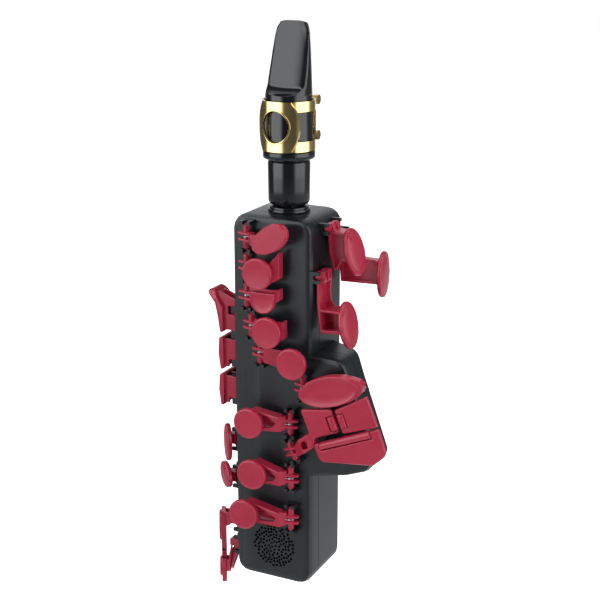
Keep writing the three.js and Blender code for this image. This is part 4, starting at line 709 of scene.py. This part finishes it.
# Coil springs in the forks of the front keys: the side that the leg reaches to, sizes in mm
SPRINGS = {
    "key_c": 1, "key_b": 1, "key_b_flat_side": 1, "key_a": 1, "key_g": 1, "key_g_sharp": 1,
    "key_f": -1, "key_e": -1, "key_d": -1,
}
WIRE_RADIUS = 0.14
COIL_RADIUS = 1.92
COIL_RISE = 0.36
COIL_TURNS = 2
COIL_STEPS = 20
LEG_LENGTH = 4.6


def springs():
    end = COIL_TURNS * COIL_RISE / 2
    for node, side in SPRINGS.items():
        bpy.ops.mesh.primitive_circle_add(vertices=8, radius=WIRE_RADIUS * MM,
                                          location=(COIL_RADIUS * MM, 0, -end * MM),
                                          rotation=(math.pi / 2, 0, 0))
        piece = name_piece(bpy.context.object, node + "_spring")
        settle(piece)
        modify(piece, 'SCREW', angle=2 * math.pi, screw_offset=COIL_RISE * MM,
               iterations=COIL_TURNS, steps=COIL_STEPS, render_steps=COIL_STEPS)
        close_skin(piece, MERGE_REACH)
        leg = crossbar(WIRE_RADIUS, LEG_LENGTH, (LEG_LENGTH / 2, -COIL_RADIUS, end), 10)
        cut_with(piece, leg, 'UNION')
        smooth(piece, 60)
        turn = Matrix.Identity(4) if side > 0 else Matrix.Rotation(math.pi, 4, 'Y')
        stand(piece, hinge_frame(node) @ turn)
        mount(piece, node, "steel")


# The mouthpiece and the neck's collar are wound: each row of a grid is bent into a ring

def wound(name, around, rows, point):
    bpy.ops.mesh.primitive_grid_add(x_subdivisions=around, y_subdivisions=len(rows) - 1, size=1)
    piece = name_piece(bpy.context.object, name)
    for vertex in piece.data.vertices:
        row = rows[round((vertex.co.y + 0.5) * (len(rows) - 1))]
        vertex.co = point(2 * math.pi * (vertex.co.x + 0.5), row)
    close_skin(piece, SKIN_MERGE_REACH)
    return piece


def ring_point(angle, row):
    """A point of a row that is a radius and a height in mm."""
    radius, height = row
    return Vector((radius * math.sin(angle), -radius * math.cos(angle), height)) * MM


SKIN_MERGE_REACH = 0.000001
NECK_X = 0.8 * MM

# Neck collar: radius and height in mm
COLLAR = [
    (6.5, 200.4), (8.6, 200.4), (8.6, 205.3), (10.9, 205.3), (11.15, 205.5), (11.2, 206.1),
    (11, 206.5), (10.5, 206.7), (10.4, 207), (10.6, 207.3), (10.55, 207.8), (10.2, 208.05),
    (6.5, 208.05),
]
COLLAR_SIDES = 96


def neck_collar():
    piece = wound("neck_collar_turned", COLLAR_SIDES, [*COLLAR, COLLAR[0]], ring_point)
    smooth(piece, 35)
    stand(piece, Matrix.Translation((NECK_X, 0, 0)))
    mount(piece, "neck_collar", "mouthpiece")
    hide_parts("neck_collar")


# The mouthpiece's shank: radius and height over its foot in mm
MOUTHPIECE_PLACE = Matrix.Translation((NECK_X, 0, 208.8 * MM))
SHANK = [
    (8.6, 0), (9.5, 0.15), (10.3, 0.7), (10.75, 1.6), (10.9, 3), (10.95, 8), (11.05, 14),
    (11.15, 21), (11.1, 22), (10.8, 22.8), (10.3, 23.3), (10.2, 23.6), (10.9, 23.9),
    (12.9, 24.1), (13.45, 24.5), (13.65, 25.1), (13.65, 27.4), (13.5, 27.9), (13.1, 28.15),
    (12.75, 28.3),
]
# Its body and beak: at shares of its length, the shares of its radius at which the round skin,
# the flat front, the flat's edges and the sides lie. Each table is eased over a reach
MOUTHPIECE_LENGTH = 93.2 * MM
BODY_RADIUS = 12.75 * MM
TAPER = [(0.3, 1), (0.6, 0.96), (0.8, 0.91), (0.9, 0.875), (1, 0.8)]
FRONT = [(0.606, -1.1), (0.617, -0.76), (0.632, -0.56), (0.65, -0.4), (0.72, -0.23), (1, 0.37)]
FACE = [(0.6, 1), (0.68, 0.93), (0.8, 0.85), (0.9, 0.78), (0.97, 0.72), (1, 0.55)]
WIDTH = [(0.6, 1.03), (0.68, 0.99), (0.76, 0.95), (0.86, 0.88), (0.95, 0.81), (0.985, 0.74),
         (1, 0.58)]
TAPER_EASE = 0.03
FRONT_EASE = 0.004
FACE_EASE = 0.02
WIDTH_EASE = 0.015
# Rows of the body and beak as shares of the length: where a run starts, its step and its count
ROW_RUNS = [(0.32, 0.01, 28), (0.602, 0.0015, 16), (0.63, 0.005, 67), (0.967, 0.003, 11)]
SKIN_SIDES = 144
REED_TABLE = 7.8 * MM
EDGE_SHARPNESS = 14
LEAST_BEVEL = 0.3 * MM
STRAIGHT_AHEAD = 0.0001
# The tip's corners drop from here on, and by this much, so its edge is curved
TIP_START = 0.94
TIP_REACH = 0.06
TIP_HALF_WIDTH = 0.6 * BODY_RADIUS
TIP_DROP = 1.1 * MM
TIP_DROP_LIMIT = 2.4 * MM
# The flat front is hollowed a little towards its middle
CROWN = 1 * MM
CROWN_START = 0.61
CROWN_REACH = 0.05
CROWN_HALF_WIDTH = 0.75 * BODY_RADIUS
CROWN_FADE = 3
# Cut away for the reed's table and the bores, in mm
REED_SIDE = [(7.8, 25.7), (30, 25.7), (30, 95), (6.2, 95), (6.2, 93.2), (6.9, 82), (7.45, 74),
             (7.8, 69)]
REED_CUT = (-20, 20)
SHANK_BORE = (8.4, -1, 25, 64)
THROAT = (5.5, 24, 58.2, 48)
WINDOW = ((-5.2, 2.73, 55.2), (5.2, 15.6, 83.9))


def share_at(rows, up):
    """A table's value at a height, on the straight lines between its rows."""
    for (low, first), (high, last) in zip(rows, rows[1:]):
        if up <= high:
            return first + (last - first) * max(up - low, 0) / (high - low)
    return rows[-1][1]


def eased(rows, up, reach):
    """The mean of a table's values over a reach around a height."""
    return sum(share_at(rows, up + reach * step / 4) for step in range(-4, 5)) / 9


def skin_point(angle, row):
    """A point of the mouthpiece: the nearest of the round skin, the flat front and the sides."""
    if isinstance(row, tuple):
        return ring_point(angle, row)
    radius = BODY_RADIUS * eased(TAPER, row, TAPER_EASE)
    across, ahead = math.sin(angle), -math.cos(angle)
    front = max(BODY_RADIUS * eased(FRONT, row, FRONT_EASE), -radius)
    middle = (front + min(REED_TABLE, radius)) / 2
    limits = [math.sqrt((middle * ahead) ** 2 + radius ** 2 - middle ** 2) - middle * ahead]
    if front > -radius:
        face = BODY_RADIUS * eased(FACE, row, FACE_EASE)
        width = BODY_RADIUS * eased(WIDTH, row, WIDTH_EASE)
        slope = Vector((middle - front, -max(width - face, LEAST_BEVEL))).normalized()
        sideways = slope.x * abs(across) + slope.y * ahead
        if ahead < 0:
            limits.append((middle - front) / -ahead)
        if sideways > 0:
            limits.append((slope.x * face + slope.y * (front - middle)) / sideways)
        if abs(across) > STRAIGHT_AHEAD:
            limits.append(width / abs(across))
    nearness = sum((limit / BODY_RADIUS) ** -EDGE_SHARPNESS for limit in limits)
    reach = BODY_RADIUS * nearness ** (-1 / EDGE_SHARPNESS)
    side = reach * across
    tip = max(row - TIP_START, 0) / TIP_REACH
    drop = min(TIP_DROP * tip ** 2 * (side / TIP_HALF_WIDTH) ** 4, TIP_DROP_LIMIT)
    crown = CROWN * min(max(row - CROWN_START, 0) / CROWN_REACH, 1) * (side / CROWN_HALF_WIDTH) ** 2
    depth = middle + reach * ahead + crown * min(max(-CROWN_FADE * ahead, 0), 1)
    return Vector((side, depth, row * MOUTHPIECE_LENGTH - drop))


def smooth_mouthpiece():
    rows = [start + step * k for start, step, count in ROW_RUNS for k in range(count)]
    piece = wound("mouthpiece_skin", SKIN_SIDES, [*SHANK, *rows, 1.0], skin_point)
    cut_with(piece, prism(REED_SIDE, *REED_CUT, lambda y, z, x: Vector((x, y, z))))
    cut_with(piece, drum(*SHANK_BORE))
    cut_with(piece, drum(*THROAT))
    cut_with(piece, block(*WINDOW))
    round_edges(piece, width=0.12 * MM, segments=2, angle=50)
    smooth(piece, 40)
    stand(piece, MOUTHPIECE_PLACE)
    mount(piece, "mouthpiece")
    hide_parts("mouthpiece")


# The ligature, in mm over the mouthpiece's foot: two bands, a bulged plate with an oval eye,
# and lugs for the two screws behind the reed
LIGATURE_FOOT = 28.7
LIGATURE_TOP = 54.2
LIGATURE_MIDDLE = (LIGATURE_FOOT + LIGATURE_TOP) / 2
LIGATURE_SIDES = 160
BAND_RADII = (13.05, 13.85)
BAND_HEIGHT = 5.2
BAND_OPENING = ((-15, -15), (15, 6))
GAP_HALF_WIDTH = 2.4
GAP_DEPTH = 16
PLATE_INNER = 15.8
PLATE_SHIFT = 2.7 * MM
PLATE_OUTLINE = (11.8, 17.6)
PLATE_RADIUS = 17.2
EYE_OUTLINE = (7.6, 8.2)
EYE_TURN = Matrix.Rotation(math.radians(-4.7), 4, 'Z')
RIM_RADIUS = 17.5
RIM_OUTLINES = ((7.55, 8.15), (8.3, 8.9))
SCREW_HEIGHTS = (33.9, 52.4)
SCREW_BORE = (1.4, 30, 17)
LUG_WIDTH = 3.6
LUG_HALF_HEIGHT = 1.8
LUG_DEPTHS = (12.6, 19.2)
LUG_CUT = 3
EYE_ROD_LENGTH = 30 * MM
EYE_ROD_PLACE = (0, -16 * MM, LIGATURE_MIDDLE * MM)


def eye_rod(half_width, half_height):
    """An oval rod that points out of the front at the eye."""
    bpy.ops.mesh.primitive_cylinder_add(vertices=96, radius=1, depth=EYE_ROD_LENGTH)
    piece = bpy.context.object
    piece.scale = (half_width * MM, half_height * MM, 1)
    settle(piece)
    place = Matrix.Translation(EYE_ROD_PLACE) @ Matrix.Rotation(math.radians(90), 4, 'X')
    stand(piece, EYE_TURN @ place)
    return piece


def eye_plate(outer, outline):
    plate = drum(outer, LIGATURE_FOOT, LIGATURE_TOP, LIGATURE_SIDES)
    inner = drum(PLATE_INNER, LIGATURE_FOOT - MARGIN, LIGATURE_TOP + MARGIN, LIGATURE_SIDES)
    cut_with(plate, inner)
    stand(plate, EYE_TURN @ Matrix.Translation((0, PLATE_SHIFT, 0)))
    cut_with(plate, eye_rod(*outline), 'INTERSECT')
    return plate


def lug(left, height):
    low, high = height - LUG_HALF_HEIGHT, height + LUG_HALF_HEIGHT
    piece = block((left, LUG_DEPTHS[0], low), (left + LUG_WIDTH, LUG_DEPTHS[1], high))
    cut_with(piece, drum(BAND_RADII[0], height - LUG_CUT, height + LUG_CUT, LIGATURE_SIDES))
    return piece


def smooth_ligature():
    inner, outer = BAND_RADII
    low, high = LIGATURE_FOOT - MARGIN, LIGATURE_TOP + MARGIN
    piece = drum(outer, LIGATURE_FOOT, LIGATURE_TOP, LIGATURE_SIDES)
    cut_with(piece, drum(inner, low, high, LIGATURE_SIDES))
    between = LIGATURE_FOOT + BAND_HEIGHT, LIGATURE_TOP - BAND_HEIGHT
    cut_with(piece, block(*((*corner, up) for corner, up in zip(BAND_OPENING, between))))
    cut_with(piece, eye_plate(PLATE_RADIUS, PLATE_OUTLINE), 'UNION')
    cut_with(piece, eye_rod(*EYE_OUTLINE))
    cut_with(piece, block((-GAP_HALF_WIDTH, 0, low), (GAP_HALF_WIDTH, GAP_DEPTH, high)))
    radius, length, depth = SCREW_BORE
    for height in SCREW_HEIGHTS:
        for left in (-GAP_HALF_WIDTH - LUG_WIDTH, GAP_HALF_WIDTH):
            cut_with(piece, lug(left, height), 'UNION')
        cut_with(piece, crossbar(radius, length, (0, depth, height), 32))
    round_edges(piece, width=0.2 * MM, segments=2, angle=50)
    smooth(piece, 40)
    name_piece(piece, "ligature_rolled")
    stand(piece, MOUTHPIECE_PLACE)
    mount(piece, "ligature")
    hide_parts("ligature")


def eye_rim():
    inside, outside = RIM_OUTLINES
    piece = name_piece(eye_plate(RIM_RADIUS, outside), "ligature_eye_rim")
    cut_with(piece, eye_rod(*inside))
    round_edges(piece, width=0.2 * MM, segments=3, angle=50)
    smooth(piece, 40)
    stand(piece, MOUTHPIECE_PLACE)
    mount(piece, "ligature")


moulded_pieces = dress_solids()
pearl_touches()
leaf_touches()
palm_touches()
trill_touches()
rollers()
recess_arms(moulded_pieces)
round_flare(moulded_pieces["side_key_high_e"])
flat_touch()
springs()
low_c_webs()
open_grille(moulded_pieces["front_shell"])
smooth_mouthpiece()
smooth_ligature()
eye_rim()
neck_collar()


# Camera at the photograph's place. The focal length is in pixels of the photograph
CAMERA_AZIMUTH = math.radians(26.1)
CAMERA_ELEVATION = math.radians(16.52)
CAMERA_DISTANCE = 0.6843
CAMERA_TARGET = Vector((5.73, 2.81, 155.84)) * MM
FOCAL_PIXELS = 1281
PHOTO_PIXELS = 600
SENSOR_WIDTH = 36


def place_camera():
    level = math.cos(CAMERA_ELEVATION)
    back = Vector((math.sin(CAMERA_AZIMUTH) * level, -math.cos(CAMERA_AZIMUTH) * level,
                   math.sin(CAMERA_ELEVATION)))
    bpy.ops.object.camera_add(location=CAMERA_TARGET + back * CAMERA_DISTANCE)
    camera = bpy.context.object
    camera.name = "camera"
    camera.rotation_euler = (-back).to_track_quat('-Z', 'Y').to_euler()
    camera.data.sensor_width = SENSOR_WIDTH
    camera.data.lens = FOCAL_PIXELS / PHOTO_PIXELS * SENSOR_WIDTH
    camera.data.clip_start = 0.01
    camera.data.clip_end = 20
    bpy.context.scene.camera = camera


# Lamps for matt light: place, width and height in metres, power in watts
LAMPS = {
    "left_softbox": ((-0.75, -0.7, 0.35), (0.5, 1.1), 4.4),
    "right_softbox": ((0.9, -0.45, 0.35), (0.5, 1.1), 6),
    "back_softbox": ((0.2, 1, 0.5), (0.7, 0.9), 4),
    "top_softbox": ((-0.1, -0.1, 1.2), (0.7, 0.7), 5),
}
LAMP_TARGET = Vector((0, 0, 0.15))


def softboxes():
    """What shines doesn't see the lamps, but the world's soft bands in their place."""
    for name, (place, (width, height), power) in LAMPS.items():
        bpy.ops.object.light_add(type='AREA', location=place)
        lamp = bpy.context.object
        lamp.name = name
        lamp.visible_glossy = False
        lamp.data.shape = 'RECTANGLE'
        lamp.data.size = width
        lamp.data.size_y = height
        lamp.data.energy = power
        lamp.rotation_euler = (LAMP_TARGET - Vector(place)).to_track_quat('-Z', 'Y').to_euler()


# What shines sees around it, from the back by the left, the front and the right to the back:
# place on the ring and brightness as a share of the brightest
BANDS = [
    (0, 0.27), (0.06, 0.27), (0.12, 0.03), (0.22, 0.03), (0.27, 0.9), (0.37, 1), (0.43, 0.03),
    (0.53, 0.02), (0.56, 0.05), (0.62, 0.85), (0.73, 0.8), (0.79, 0.08), (0.88, 0.04),
    (0.94, 0.27),
]
BAND_STRENGTH = 3.5
COOL_WHITE = (0.95, 0.98, 1)
RING_FRONT = (0.44, -0.898, 0)
RING_RIGHT = (0.898, 0.44, 0)

# The white table that what shines sees below the bands: the heights between which it starts,
# its brightness there and straight down, and what is added towards the right
TABLE_EDGE = (-0.25, -0.208)
TABLE_GLOW = (0.3, 1.3)
TABLE_RIGHT = 0.3

# What matt surfaces see of the world, and what the camera sees
DIM = (0.26, 0.26, 0.27, 1)
WHITE = (1, 1, 1, 1)


def fill(tree, kind, values, operation=None):
    """A node with its inputs filled in their order."""
    node = tree.nodes.new("ShaderNode" + kind)
    if operation:
        node.operation = operation
    for socket, value in zip(node.inputs, values):
        set_input(tree, socket, value)
    return node


def calculate(tree, operation, first, second):
    return fill(tree, "Math", (first, second), operation).outputs["Value"]


def along(tree, place, direction):
    return fill(tree, "VectorMath", (place, direction), 'DOT_PRODUCT').outputs["Value"]


def world_range(tree, value, source, target):
    ends = dict(zip(("From_Min", "From_Max", "To_Min", "To_Max"), (*source, *target)))
    return add_node(tree, "MapRange", Value=value, **ends).outputs["Result"]


def background(tree, color, strength=1):
    return add_node(tree, "Background", Color=color, Strength=strength).outputs["Background"]


def band_color(tree, front, right):
    """The bands' colour, by the turn around the part at which a reflection looks."""
    turn = calculate(tree, 'MULTIPLY', calculate(tree, 'ARCTAN2', right, front), 0.5 / math.pi)
    bands = add_node(tree, "ValToRGB", Fac=calculate(tree, 'ADD', turn, 0.5))
    bands.color_ramp.interpolation = 'EASE'
    while len(bands.color_ramp.elements) < len(BANDS):
        bands.color_ramp.elements.new(0.5)
    for element, (where, level) in zip(bands.color_ramp.elements, BANDS):
        element.position = where
        element.color = (*(level * share for share in COOL_WHITE), 1)
    return bands.outputs["Color"]


def shining_world(tree):
    place = add_node(tree, "TexCoord").outputs["Generated"]
    front, right, up = (along(tree, place, way) for way in (RING_FRONT, RING_RIGHT, (0, 0, 1)))
    above = world_range(tree, up, TABLE_EDGE, (0, BAND_STRENGTH))
    around = background(tree, band_color(tree, front, right), above)
    below = world_range(tree, up, (TABLE_EDGE[1], -1), TABLE_GLOW)
    sidelong = calculate(tree, 'MULTIPLY', calculate(tree, 'MAXIMUM', right, 0), TABLE_RIGHT)
    hidden = world_range(tree, up, TABLE_EDGE, (1, 0))
    glow = calculate(tree, 'MULTIPLY', calculate(tree, 'ADD', below, sidelong), hidden)
    table = background(tree, (*COOL_WHITE, 1), glow)
    return fill(tree, "AddShader", (around, table)).outputs["Shader"]


def studio_world():
    world = bpy.data.worlds.new("studio")
    bpy.context.scene.world = world
    world.use_nodes = True
    tree = world.node_tree
    tree.nodes.clear()
    ray = add_node(tree, "LightPath").outputs
    shades = (ray["Is Glossy Ray"], background(tree, DIM), shining_world(tree))
    lit = fill(tree, "MixShader", shades).outputs["Shader"]
    direct = calculate(tree, 'MAXIMUM', ray["Is Camera Ray"], ray["Is Transmission Ray"])
    seen = fill(tree, "MixShader", (direct, lit, background(tree, WHITE))).outputs["Shader"]
    add_node(tree, "OutputWorld", Surface=seen)


FLOOR_HEIGHT = -0.05
FLOOR_SIZE = 6
FLOOR_GREY = (0.8, 0.8, 0.8, 1)


def white_floor():
    """Matt to the light, but plain white to the camera."""
    bpy.ops.mesh.primitive_plane_add(size=FLOOR_SIZE, location=(0, 0, FLOOR_HEIGHT))
    floor = name_piece(bpy.context.object, "floor")
    finish = bpy.data.materials.new("floor_white")
    finish.use_nodes = True
    tree = finish.node_tree
    tree.nodes.clear()
    matt = add_node(tree, "BsdfDiffuse", Color=FLOOR_GREY).outputs["BSDF"]
    ray = add_node(tree, "LightPath").outputs["Is Camera Ray"]
    glow = add_node(tree, "Emission", Color=WHITE, Strength=ray).outputs["Emission"]
    both = fill(tree, "AddShader", (matt, glow)).outputs["Shader"]
    add_node(tree, "OutputMaterial", Surface=both)
    floor.data.materials.append(finish)
    floor.visible_glossy = False


place_camera()
studio_world()
softboxes()
white_floor()
bpy.context.scene.view_settings.view_transform = 'Standard'
